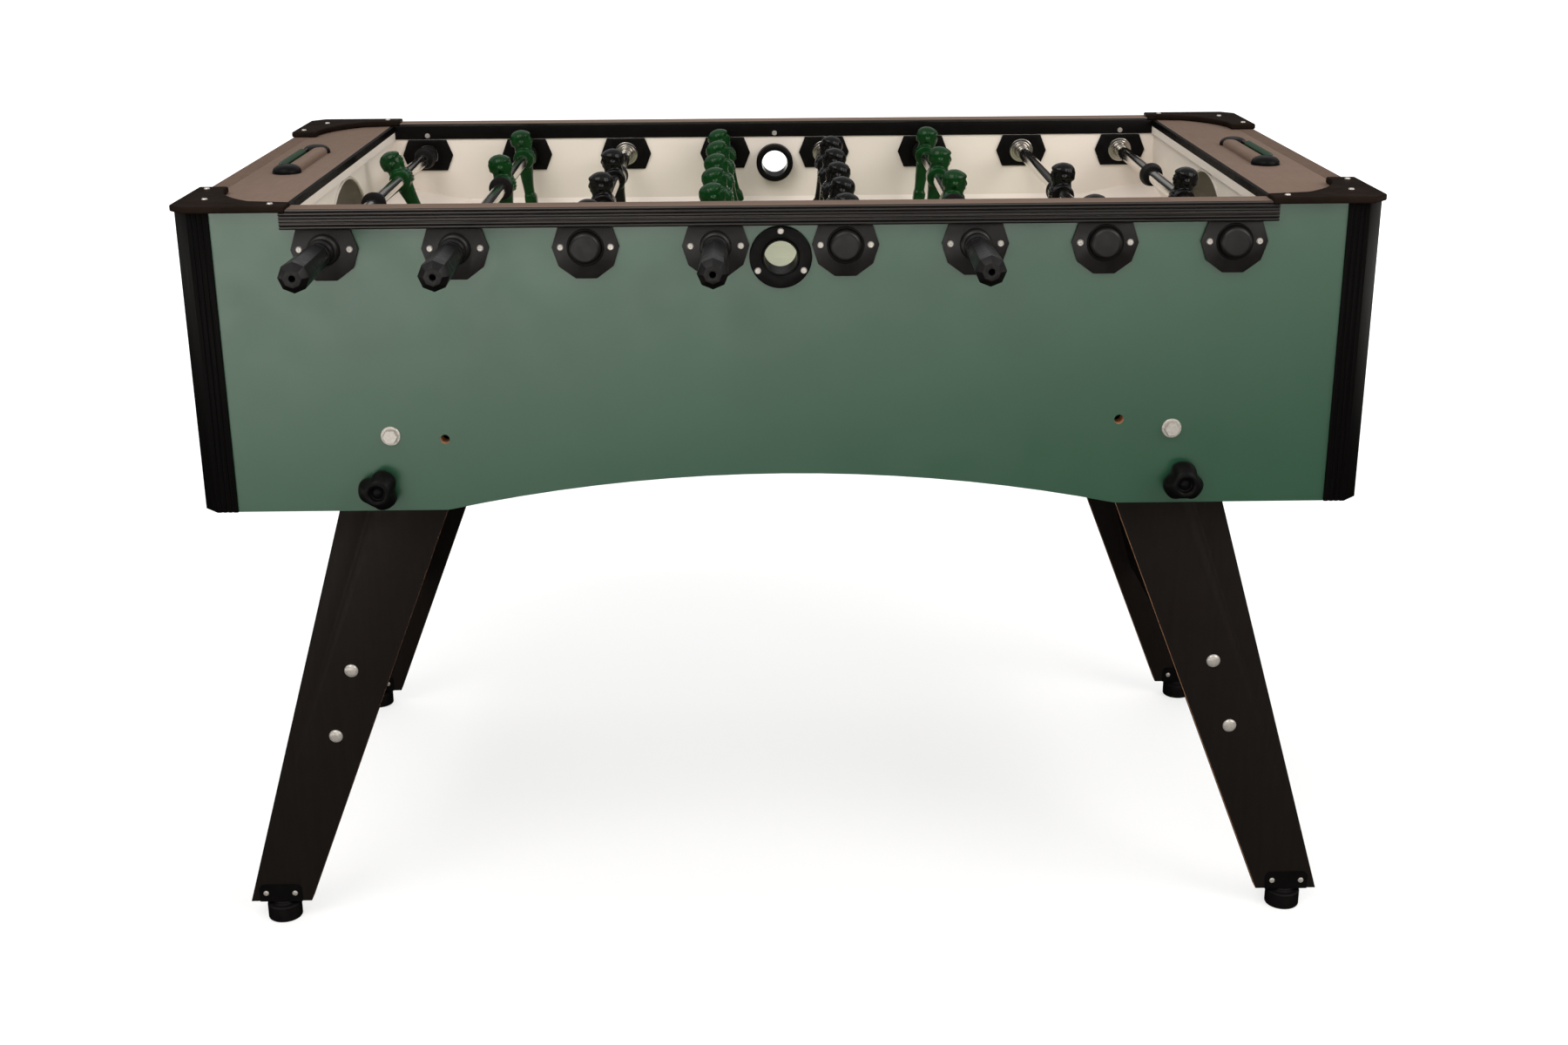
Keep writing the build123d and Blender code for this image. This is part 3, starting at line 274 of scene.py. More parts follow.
def make_finishes(tints):
    """All finishes of the table, by name.

    A pattern is its scale, stretch, detail and roughness. Its two values are shares of the colour for a tint,
    limits of the roughness for a sheen, and a depth and a strength for a relief.
    """
    made = {}
    made["panel"] = Finish("green_laminate", tints.panel_green, 0.32, specular=0.8).layers(
        tint=((9.0, EVEN, 5.0), 0.96, 1.04),
        sheen=((22.0,), 0.29, 0.35),
        relief=((1500.0, EVEN, 2.0), 0.05, 0.5),
    )
    made["top"] = Finish("taupe_laminate", tints.top_taupe, 0.45, specular=0.02).layers(
        tint=((420.0, (1.0, 0.04, 1.0), 4.0), 0.93, 1.07),
        sheen=((30.0,), 0.38, 0.50),
        relief=((700.0, (1.0, 0.03, 1.0), 3.0), 0.08, 0.6),
    )
    made["strip"] = Finish("taupe_strip", tints.top_taupe, 0.42, specular=0.02).layers(
        tint=((420.0, (0.04, 1.0, 1.0), 4.0), 0.95, 1.08),
        sheen=((30.0,), 0.34, 0.46),
        relief=((700.0, (0.03, 1.0, 1.0), 3.0), 0.08, 0.6),
    )
    made["wall"] = Finish("white_laminate", tints.wall_white, 0.5, specular=0.3).layers(
        tint=((6.0, EVEN, 4.0), 0.97, 1.03),
        sheen=((18.0,), 0.42, 0.58),
        relief=((1100.0, EVEN, 2.0), 0.06, 0.4),
    )
    made["field"] = Finish("field_board", tints.field_green, 0.5, specular=0.2).layers(
        tint=((900.0, EVEN, 4.0, 0.7), 0.94, 1.05),
        sheen=((60.0,), 0.42, 0.6),
        relief=((1600.0, EVEN, 2.0), 0.08, 0.5),
    )
    made["rail"] = Finish("black_rail", tints.rail_black, 0.32, metallic=0.9).layers(
        tint=((500.0, (0.03, 1.0, 1.0), 3.0), 0.85, 1.15),
        sheen=((300.0, (0.04, 1.0, 1.0)), 0.26, 0.40),
        relief=((900.0, (0.02, 1.0, 1.0), 2.0), 0.05, 0.5),
    )
    made["post"] = Finish("black_post", tints.profile_black, 0.34, specular=0.02).layers(
        tint=((500.0, (1.0, 1.0, 0.03), 3.0), 0.8, 1.25),
        sheen=((300.0, (1.0, 1.0, 0.04)), 0.28, 0.42),
        relief=((900.0, (1.0, 1.0, 0.02), 2.0), 0.05, 0.5),
    )
    made["cap"] = Finish("cap_plastic", tints.cap_black, 0.42, specular=0.004).layers(
        tint=((35.0, EVEN, 5.0), 0.82, 1.18),
        sheen=((60.0,), 0.36, 0.5),
        relief=((900.0, EVEN, 3.0), 0.08, 0.4),
    )
    made["plastic"] = Finish("satin_plastic", tints.plastic_black, 0.4, specular=0.3).layers(
        tint=((50.0, EVEN, 5.0), 0.85, 1.2),
        sheen=((80.0,), 0.34, 0.48),
        relief=((1200.0, EVEN, 3.0), 0.09, 0.5),
    )
    made["ring"] = Finish("ring_plastic", tints.ring_black, 0.4, specular=0.07).layers(
        tint=((50.0, EVEN, 5.0), 0.85, 1.2),
        sheen=((80.0,), 0.32, 0.46),
        relief=((1200.0, EVEN, 3.0), 0.09, 0.5),
    )
    made["grip"] = Finish("grip_rubber", tints.grip_black, 0.36, specular=0.2).layers(
        tint=((60.0, EVEN, 5.0), 0.8, 1.35),
        sheen=((120.0,), 0.28, 0.46),
        relief=((1400.0, EVEN, 3.0), 0.12, 0.5),
    )
    made["bumper"] = Finish("bumper_rubber", tints.grip_black, 0.55, specular=0.12).layers(
        tint=((80.0, EVEN, 5.0), 0.85, 1.3),
        sheen=((100.0,), 0.48, 0.64),
        relief=((1300.0, EVEN, 3.0), 0.12, 0.5),
    )
    made["leg"] = Finish("black_board", tints.leg_black, 0.42, specular=0.06).layers(
        tint=((260.0, (1.0, 1.0, 0.05), 4.0), 0.93, 1.08),
        sheen=((40.0,), 0.36, 0.5),
        relief=((500.0, (1.0, 1.0, 0.04), 3.0), 0.08, 0.5),
    )
    made["raw"] = Finish("raw_board", tints.raw_edge, 0.75).layers(
        tint=((500.0, EVEN, 6.0, 0.7), 0.6, 1.25),
        sheen=((300.0,), 0.65, 0.85),
        relief=((900.0, EVEN, 4.0), 0.3, 0.6),
    )
    for name, base in (("team_green", tints.team_green), ("team_black", tints.team_black)):
        gloss = Finish(name, base, 0.2, specular=0.14)
        gloss.put("Coat Weight", 0.06)
        gloss.put("Coat Roughness", 0.08)
        made[name] = gloss.layers(
            tint=((70.0, EVEN, 5.0), 0.75, 1.3),
            sheen=((150.0,), 0.16, 0.26),
            relief=((500.0, EVEN, 2.0), 0.1, 0.35),
        )
    made["bead"] = Finish("bead_gloss", tints.bead_green, 0.2).layers(
        tint=((160.0, EVEN, 4.0), 0.8, 1.2),
        sheen=((200.0,), 0.14, 0.28),
        relief=((700.0, EVEN, 2.0), 0.1, 0.4),
    )
    made["goal"] = Finish("goal_plastic", tints.goal_grey, 0.45).layers(
        tint=((30.0, EVEN, 4.0), 0.85, 1.15),
        sheen=((60.0,), 0.38, 0.52),
        relief=((1000.0, EVEN, 3.0), 0.08, 0.5),
    )
    made["chrome"] = Finish("chrome_tube", tints.chrome, 0.1, metallic=1.0).layers(
        tint=((420.0, (1.0, 0.02, 1.0), 3.0), 0.9, 1.04),
        sheen=((260.0, (1.0, 0.03, 1.0)), 0.06, 0.16),
        relief=((700.0, (1.0, 0.01, 1.0), 2.0), 0.03, 0.35),
    )
    made["bolt"] = Finish("bolt_zinc", tints.zinc, 0.34, metallic=0.45).layers(
        tint=((320.0, EVEN, 3.0), 0.68, 0.92),
        sheen=((250.0,), 0.28, 0.4),
        relief=((1400.0, EVEN, 2.0), 0.03, 0.4),
    )
    made["nickel"] = Finish("nickel_ring", tints.zinc, 0.16, metallic=1.0).layers(
        tint=((60.0, EVEN, 3.0), 0.68, 0.78),
        sheen=((300.0,), 0.12, 0.2),
        relief=((1600.0, EVEN, 2.0), 0.02, 0.3),
    )
    return made


FINISHES = {}


def finish(name):
    """A finish of this table, made on first use."""
    if not FINISHES:
        FINISHES.update(make_finishes(bpy.context.scene.table_colours))
    return FINISHES[name]


def sizes():
    """The user's sizes."""
    return bpy.context.scene.table_sizes


def mesh_of(name, shape):
    """Plain mesh of a bmesh, which it frees."""
    mesh = bpy.data.meshes.new(name)
    shape.to_mesh(mesh)
    shape.free()
    return mesh


def painted(name, shape, materials, choose):
    """Mesh of a bmesh with several finishes; choose gives a face the number of its own."""
    mesh = mesh_of(name, shape)
    for material in materials:
        mesh.materials.append(finish(material))
    for face in mesh.polygons:
        face.material_index = choose(face)
    return mesh


def piece(name, shape, material, body, nodes=(), degrees=38.0):
    """Turns a bmesh or a mesh into a piece of the table that rides on a body."""
    mesh = mesh_of(name, shape) if isinstance(shape, bmesh.types.BMesh) else shape
    mesh.name = name
    if not mesh.polygons:
        raise RuntimeError(f"{name} has no faces")
    if not mesh.materials:
        mesh.materials.append(finish(material))
    mesh.shade_smooth()
    mesh.set_sharp_from_angle(angle=math.radians(degrees))
    thing = bpy.data.objects.new(name, mesh)
    bpy.context.scene.collection.objects.link(thing)
    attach(thing, body)
    if nodes:
        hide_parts(*nodes)


def dress(node, material):
    """Gives a CAD node a finish."""
    thing = frame["nodes"][node]
    if not thing.material_slots:
        thing.data.materials.append(finish(material))
    for holder in thing.material_slots:
        holder.material = finish(material)


def solid_copy(node, keep=None):
    """Copy of a CAD node with its flat faces joined up, or of the faces whose middle is kept."""
    same_place = 0.01 * MM
    flat = math.radians(0.6)
    shape = bmesh.new()
    shape.from_mesh(frame["nodes"][node].data)
    if keep:
        spare = [face for face in shape.faces if not keep(face.calc_center_median())]
        bmesh.ops.delete(shape, geom=spare, context="FACES")
    bmesh.ops.remove_doubles(shape, verts=shape.verts, dist=same_place)
    bmesh.ops.dissolve_limit(shape, angle_limit=flat, verts=shape.verts, edges=shape.edges)
    return shape


def solids_of(node):
    """Lowest and highest corners of each separate solid of a CAD node."""
    shape = solid_copy(node)
    seen, boxes = set(), []
    for first in shape.verts:
        if first in seen:
            continue
        group, waiting = {first}, [first]
        while waiting:
            for edge in waiting.pop().link_edges:
                fresh = [corner for corner in edge.verts if corner not in group]
                group.update(fresh)
                waiting.extend(fresh)
        seen |= group
        low = [min(corner.co[axis] for corner in group) for axis in range(3)]
        high = [max(corner.co[axis] for corner in group) for axis in range(3)]
        boxes.append((Vector(low), Vector(high)))
    shape.free()
    return boxes


def round_edges(shape, width, segments=2, degrees=32.0):
    """Rounds the edges that are sharper than an angle."""
    edges = [
        edge for edge in shape.edges
        if len(edge.link_faces) == 2 and edge.calc_face_angle() > math.radians(degrees)
    ]
    bmesh.ops.bevel(
        shape, geom=edges, offset=width, offset_type="OFFSET", segments=segments, profile=0.5,
        affect="EDGES", clamp_overlap=True,
    )
    return shape


def softened(name, node, width, material, body, segments=2):
    """Stands a rounded copy of a CAD node in its place."""
    piece(name, round_edges(solid_copy(node), width, segments), material, body, (node,))


def cut_past(shape, place, direction):
    """Cuts away what lies past a plane."""
    bmesh.ops.bisect_plane(
        shape, geom=[*shape.verts, *shape.edges, *shape.faces], plane_co=place, plane_no=direction,
        clear_outer=True,
    )


def fill_cuts(shape):
    """Closes the holes that cuts leave."""
    rims = [edge for edge in shape.edges if len(edge.link_faces) == 1]
    bmesh.ops.holes_fill(shape, edges=rims, sides=0)


def outward(*shapes):
    """Turns all faces outwards."""
    for shape in shapes:
        bmesh.ops.recalc_face_normals(shape, faces=shape.faces)


def skin(shape, rings, closed=False):
    """Joins rings of corners into a tube, capped unless its ends meet."""
    pairs = list(zip(rings, rings[1:]))
    if closed:
        pairs.append((rings[-1], rings[0]))
    for low, high in pairs:
        for step in range(len(low)):
            after = (step + 1) % len(low)
            shape.faces.new((low[step], low[after], high[after], high[step]))
    if not closed:
        shape.faces.new(list(reversed(rings[0])))
        shape.faces.new(rings[-1])


def spin(shape, outline, matrix, steps=40, closed=False):
    """Turns an outline of (radius, height) points in millimetres round the matrix's Z axis."""
    rings = []
    for radius, height in outline:
        reach = radius * MM
        ring = []
        for step in range(steps):
            angle = 2 * math.pi * step / steps
            point = Vector((reach * math.cos(angle), reach * math.sin(angle), height * MM))
            ring.append(shape.verts.new(matrix @ point))
        rings.append(ring)
    skin(shape, rings, closed)


def facing(place, direction):
    """Matrix whose Z axis points along a direction from a place."""
    turn = Vector(direction).to_track_quat("Z", "Y").to_matrix().to_4x4()
    return Matrix.Translation(place) @ turn


def slab(shape, corner, opposite):
    """Adds a box between two corners."""
    size = [abs(far - near) for near, far in zip(corner, opposite)]
    middle = [(far + near) / 2 for near, far in zip(corner, opposite)]
    bmesh.ops.create_cube(
        shape, size=1.0, matrix=Matrix.Translation(middle) @ Matrix.Diagonal((*size, 1.0)),
    )


def rod_axis(number):
    """Place of a rod's axis in X and Z."""
    for joint in frame["joints"]:
        if joint["name"] == f"rod_{number}_spin":
            return joint["pos_m"][0], joint["pos_m"][2]
    raise RuntimeError(f"rod {number} has no axis")


def rod_side(number):
    """Side of a rod's grip: -1 at the front, 1 at the back."""
    return -1 if RODS[number - 1][0] == "green" else 1


def node_tree(name, inputs):
    """Empty geometry tree with named length inputs; returns it with its ends and socket names."""
    tree = bpy.data.node_groups.new(name, "GeometryNodeTree")
    tree.interface.new_socket(name="Geometry", in_out="OUTPUT", socket_type="NodeSocketGeometry")
    tree.interface.new_socket(name="Geometry", in_out="INPUT", socket_type="NodeSocketGeometry")
    keys = {}
    for label in inputs:
        socket = tree.interface.new_socket(name=label, in_out="INPUT", socket_type="NodeSocketFloat")
        keys[label] = socket.identifier
    return tree, tree.nodes.new("NodeGroupInput"), tree.nodes.new("NodeGroupOutput"), keys


def box_of(tree, x, y, z, rise=None):
    """Cube node with linked sides, lifted by a linked height."""
    sides = tree.nodes.new("ShaderNodeCombineXYZ")
    cube = tree.nodes.new("GeometryNodeMeshCube")
    wire(tree, (x, sides.inputs[0]), (y, sides.inputs[1]), (z, sides.inputs[2]))
    wire(tree, (sides.outputs[0], cube.inputs["Size"]))
    if rise is None:
        return cube.outputs["Mesh"]
    lift = tree.nodes.new("ShaderNodeCombineXYZ")
    move = tree.nodes.new("GeometryNodeTransform")
    wire(tree, (rise, lift.inputs[2]), (cube.outputs["Mesh"], move.inputs["Geometry"]))
    wire(tree, (lift.outputs[0], move.inputs["Translation"]))
    return move.outputs["Geometry"]


def turned(tree, shape, angle):
    """Shape turned about X."""
    turn = tree.nodes.new("GeometryNodeTransform")
    turn.inputs["Rotation"].default_value = (angle, 0.0, 0.0)
    wire(tree, (shape, turn.inputs["Geometry"]))
    return turn.outputs["Geometry"]


def cover(tree, end, shape, material):
    """Ends a tree: makes its shape real and gives it a finish."""
    real = tree.nodes.new("GeometryNodeRealizeInstances")
    coat = tree.nodes.new("GeometryNodeSetMaterial")
    coat.inputs["Material"].default_value = finish(material)
    wire(tree, (shape, real.inputs["Geometry"]), (real.outputs["Geometry"], coat.inputs["Geometry"]))
    wire(tree, (coat.outputs["Geometry"], end.inputs["Geometry"]))


def set_out(tree, ends, shape, material, align=True):
    """Places a shape on every point, along the point's direction if it is to align."""
    start, end = ends
    place = tree.nodes.new("GeometryNodeInstanceOnPoints")
    wire(tree, (start.outputs["Geometry"], place.inputs["Points"]), (shape, place.inputs["Instance"]))
    if align:
        aim = tree.nodes.new("GeometryNodeInputNamedAttribute")
        aim.data_type = "FLOAT_VECTOR"
        aim.inputs["Name"].default_value = "facing"
        turn = tree.nodes.new("FunctionNodeAlignRotationToVector")
        turn.axis = "Z"
        wire(tree, (aim.outputs["Attribute"], turn.inputs["Vector"]))
        wire(tree, (turn.outputs["Rotation"], place.inputs["Rotation"]))
    cover(tree, end, place.outputs["Instances"], material)


def evaluated(holder):
    """Plain mesh of an object as its modifiers leave it."""
    view = bpy.context.evaluated_depsgraph_get()
    return bpy.data.meshes.new_from_object(holder.evaluated_get(view))


def grown(name, points, tree, values, edges=()):
    """Plain mesh that a geometry tree makes of points, each a place and a direction."""
    mesh = bpy.data.meshes.new(name + "_points")
    mesh.from_pydata([place for place, _ in points], edges, [])
    aim = mesh.attributes.new("facing", "FLOAT_VECTOR", "POINT")
    for index, (_, direction) in enumerate(points):
        aim.data[index].vector = direction
    holder = bpy.data.objects.new(name + "_points", mesh)
    bpy.context.scene.collection.objects.link(holder)
    growth = holder.modifiers.new("growth", "NODES")
    growth.node_group = tree
    for key, value in values.items():
        growth[key] = value
    made = evaluated(holder)
    holder.modifiers.remove(growth)
    bpy.data.objects.remove(holder)
    bpy.data.meshes.remove(mesh)
    return made


class TABLE_OT_boards(bpy.types.Operator):
    """Covers the panels, walls and field, and rounds the top boards."""

    bl_idname = "table.boards"
    bl_label = "Boards"

    def execute(self, context):
        dress("end_panels", "panel")
        for node in ("end_walls", "field_ramps"):
            dress(node, "wall")
        dress("playfield", "field")
        dress("goal_pockets", "goal")
        for place, side in (("front", -1), ("back", 1)):
            self.long_panel(place, side)
        self.top_boards()
        return {"FINISHED"}

    def long_panel(self, place, side):
        """Long panel, green outside, white inside and raw in its small holes."""
        node = f"{place}_panel"
        thickness = 16.0 * MM
        below_top = 0.5 * MM
        edge_on = 0.3
        small_face = 0.00012
        shape = solid_copy(node)
        low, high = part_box(node)
        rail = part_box("top_rails")[1]
        face = side * max(abs(low.y), abs(high.y))
        for sign in SIDES:
            inner = (sign * rail.x, face - side * thickness, high.z)
            slab(shape, inner, (sign * high.x, face, rail.z - below_top))

        def choose(part):
            """Inner faces are white, and the small faces of holes are raw."""
            if part.normal.y * side < -LOOKS_ALONG:
                return 1
            return 2 if abs(part.normal.y) < edge_on and part.area < small_face else 0

        name = f"{place}_long_panel"
        mesh = painted(name, shape, ("panel", "wall", "raw"), choose)
        piece(name, mesh, "panel", CABINET, (node,))

    def top_boards(self):
        """End boards in taupe with dark outer edges, and the strips along the rails."""
        setback = 0.8 * MM
        cut_corner = 26.0 * MM
        flat = 0.9
        upright = 0.7
        top = solid_copy("top_boards")
        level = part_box("top_rails")[1].z
        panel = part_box("back_panel")[1].y
        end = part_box("top_boards")[1].x
        strip_end = 0.9 * end
        for corner in top.verts:
            if abs(corner.co.y) > panel and corner.co.z < level + TOUCH:
                corner.co.y = math.copysign(panel - setback, corner.co.y)
        reach = end + panel - cut_corner
        for sign in SIDES:
            for side in SIDES:
                cut_past(top, (sign * reach, 0, 0), (sign, side, 0))
        fill_cuts(top)
        round_edges(top, sizes().board_edge)

        def choose(part):
            """Strips have their own grain on top, and upright faces are dark."""
            if part.center.z > level and abs(part.center.x) < strip_end:
                return 1 if part.normal.z > flat else 2
            return 2 if max(abs(part.normal.x), abs(part.normal.y)) > upright else 0

        name = "end_boards_and_strips"
        mesh = painted(name, top, ("top", "strip", "rail"), choose)
        piece(name, mesh, "top", CABINET, ("top_boards",))


class TABLE_OT_end_trims(bpy.types.Operator):
    """Lays the ribbed strips and the edge strips on the end boards."""

    bl_idname = "table.end_trims"
    bl_label = "End trims"

    def execute(self, context):
        self.ribs(sizes())
        self.edge_strips()
        return {"FINISHED"}

    def ribs(self, size):
        """Ribbed strip along the outer edge of each end board."""
        margin = 1.6 * MM
        pitch = 2.7 * MM
        cap_room = 145.5 * MM
        tree, start, end, keys = node_tree("ribs", ("Rib width", "Rib height", "Rib length"))
        width, height, reach = (start.outputs[label] for label in keys)
        rib = box_of(tree, width, reach, height, worked(tree, "MULTIPLY", height, 0.5))
        set_out(tree, (start, end), rib, "top", align=False)
        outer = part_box("top_boards")[1].x - margin
        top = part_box("top_rails")[1].z
        points = [
            ((sign * (outer - pitch * number), 0.0, top), (0.0, 0.0, 1.0))
            for sign in SIDES for number in range(size.rib_count)
        ]
        values = {
            keys["Rib width"]: size.rib_width,
            keys["Rib height"]: size.rib_height,
            keys["Rib length"]: 2 * (abs(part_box("corner_caps")[0].y) - cap_room),
        }
        ribs = grown("end_board_ribs", points, tree, values)
        piece("end_board_ribs", ribs, "top", CABINET)

    def edge_strips(self):
        """Black strip round the inner edge of each end board, and the white head below it."""
        room = 2.4 * MM
        thickness = 0.6 * MM
        lap = 4.5 * MM
        rise = 0.7 * MM
        drop = 8.5 * MM
        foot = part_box("top_boards")[0].z
        inner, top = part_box("top_rails")[1].x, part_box("top_rails")[1].z
        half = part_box("end_walls")[1].y - room
        dark, pale = bmesh.new(), bmesh.new()
        for sign in SIDES:
            face = sign * (inner - thickness)
            slab(dark, (face, -half, top - drop), (sign * inner, half, top))
            slab(dark, (face, -half, top), (sign * (inner + lap), half, top + rise))
            slab(pale, (face, -half, foot), (sign * inner, half, top - drop))
        piece("end_board_edge_strips", dark, "post", CABINET)
        piece("end_wall_heads", pale, "wall", CABINET)


class TABLE_OT_profiles(bpy.types.Operator):
    """Rounds the grooved rails, the corner posts and the corner caps."""

    bl_idname = "table.profiles"
    bl_label = "Profiles"

    def execute(self, context):
        size = sizes()
        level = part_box("top_rails")[1].z
        self.rails(size)
        self.rail_ribs(size)

        posts = solid_copy("corner_posts")
        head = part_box("corner_posts")[1].z
        for corner in posts.verts:
            if corner.co.z > head - TOUCH:
                corner.co.z = level
        round_edges(posts, size.profile_edge)
        piece("grooved_posts", posts, "post", CABINET, ("corner_posts",))

        caps = solid_copy("corner_caps")
        cut_past(caps, (0, 0, level + TOUCH), (0, 0, -1))
        fill_cuts(caps)
        outward(caps)
        round_edges(caps, size.cap_edge, segments=3)
        piece("swept_caps", caps, "cap", CABINET, ("corner_caps",))
        return {"FINISHED"}

    def rails(self, size):
        """Rails, with the side toward the field in a darker black as painted shade."""
        shape = round_edges(solid_copy("top_rails"), size.profile_edge)

        def choose(part):
            """Inner faces take the darker black as painted shade."""
            is_inner = part.normal.y * part.center.y < 0.0
            return 1 if is_inner and abs(part.normal.y) > LOOKS_ALONG else 0

        mesh = painted("grooved_rails", shape, ("rail", "ring"), choose)
        piece("grooved_rails", mesh, "rail", CABINET, ("top_rails",))

    def rail_ribs(self, size):
        """Fine ribs along the outer faces of the rails and of the strips on them."""
        count = 6
        low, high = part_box("top_rails")
        tree, start, end, keys = node_tree("rail_rib", ("Rib side", "Rib length"))
        side, reach = start.outputs["Rib side"], start.outputs["Rib length"]
        rib = turned(tree, box_of(tree, reach, side, side), math.radians(45.0))
        set_out(tree, (start, end), rib, "rail", align=False)
        pitch = (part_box("top_boards")[1].z - low.z) / count
        rows = [
            ((0.0, face, low.z + pitch * (number + 0.5)), (0.0, 0.0, 1.0))
            for number in range(count) for face in (low.y, high.y)
        ]
        whole = 2 * high.x
        between_caps = whole - 2 * size.strip_setback
        groups = (("rail_ribs", rows[:-2], whole), ("strip_ribs", rows[-2:], between_caps))
        for name, points, span in groups:
            values = {keys["Rib side"]: size.rail_rib, keys["Rib length"]: span}
            piece(name, grown(name, points, tree, values), "rail", CABINET)


class TABLE_OT_bearings(bpy.types.Operator):
    """Rounds the bearing plates and ball entries and sets the bright collars."""

    bl_idname = "table.bearings"
    bl_label = "Bearings"

    def execute(self, context):
        size = sizes()
        softened("outer_plates", "bearing_housings", size.plate_edge, "plastic", CABINET)
        softened("wall_plates", "inner_plates", size.plate_edge, "ring", CABINET)
        softened("entry_rings", "ball_entries", size.ring_edge, "ring", CABINET, segments=3)
        self.collars()
        self.sleeves()
        return {"FINISHED"}

    def collars(self):
        """Stepped collars where tubes pass; plugs inside and rings outside where they don't, the rings darker
        as painted shade of the groove round each dome.
        """
        plate_thickness = 5.0 * MM
        collar = [
            (9.3, 1.2), (9.3, 4.2), (10.2, 4.9), (12.4, 5.0), (13.2, 4.6), (13.5, 3.9), (15.8, 3.8),
            (16.8, 3.4), (17.0, 2.8), (17.0, 1.2),
        ]
        plug = [(5.2, 0.4), (5.2, 4.4), (5.8, 5.0), (9.0, 5.0), (9.6, 4.4), (9.8, 0.4)]
        seat = [(18.2, 0.0), (18.2, 0.5), (19.0, 1.2), (20.4, 1.2), (21.2, 0.5), (21.2, 0.0)]
        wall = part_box("end_walls")[1].y
        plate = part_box("front_panel")[0].y - plate_thickness
        bright, seats = bmesh.new(), bmesh.new()
        for number in range(1, len(RODS) + 1):
            x, z = rod_axis(number)
            for side in SIDES:
                inside = facing((x, side * wall, z), (0, -side, 0))
                is_open = side == rod_side(number)
                spin(bright, collar if is_open else plug, inside, closed=True)
                if not is_open:
                    outside = facing((x, -side * plate, z), (0, side, 0))
                    spin(seats, seat, outside, steps=48, closed=True)
        outward(bright, seats)
        # The rings round the closed domes take the darker ring finish as painted shade of the groove round
        # each dome
        piece("shaded_dome_seats", seats, "ring", CABINET)
        piece("rod_collars", bright, "nickel", CABINET, ("metal_fittings",))

    def sleeves(self):
        """Sleeves of the ball entries."""
        sleeve = [
            (18.8, 0.5), (18.8, 44.5), (20.0, 45.4), (24.6, 45.4), (26.4, 44.2), (27.0, 42.4), (27.0, 26.0),
            (20.6, 24.0), (20.6, 0.5),
        ]
        low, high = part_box("ball_entries")
        dark = bmesh.new()
        for side in SIDES:
            place = (0.0, side * high.y, (low.z + high.z) / 2)
            spin(dark, sleeve, facing(place, (0, -side, 0)), closed=True)
        outward(dark)
        piece("entry_sleeves", dark, "ring", CABINET)


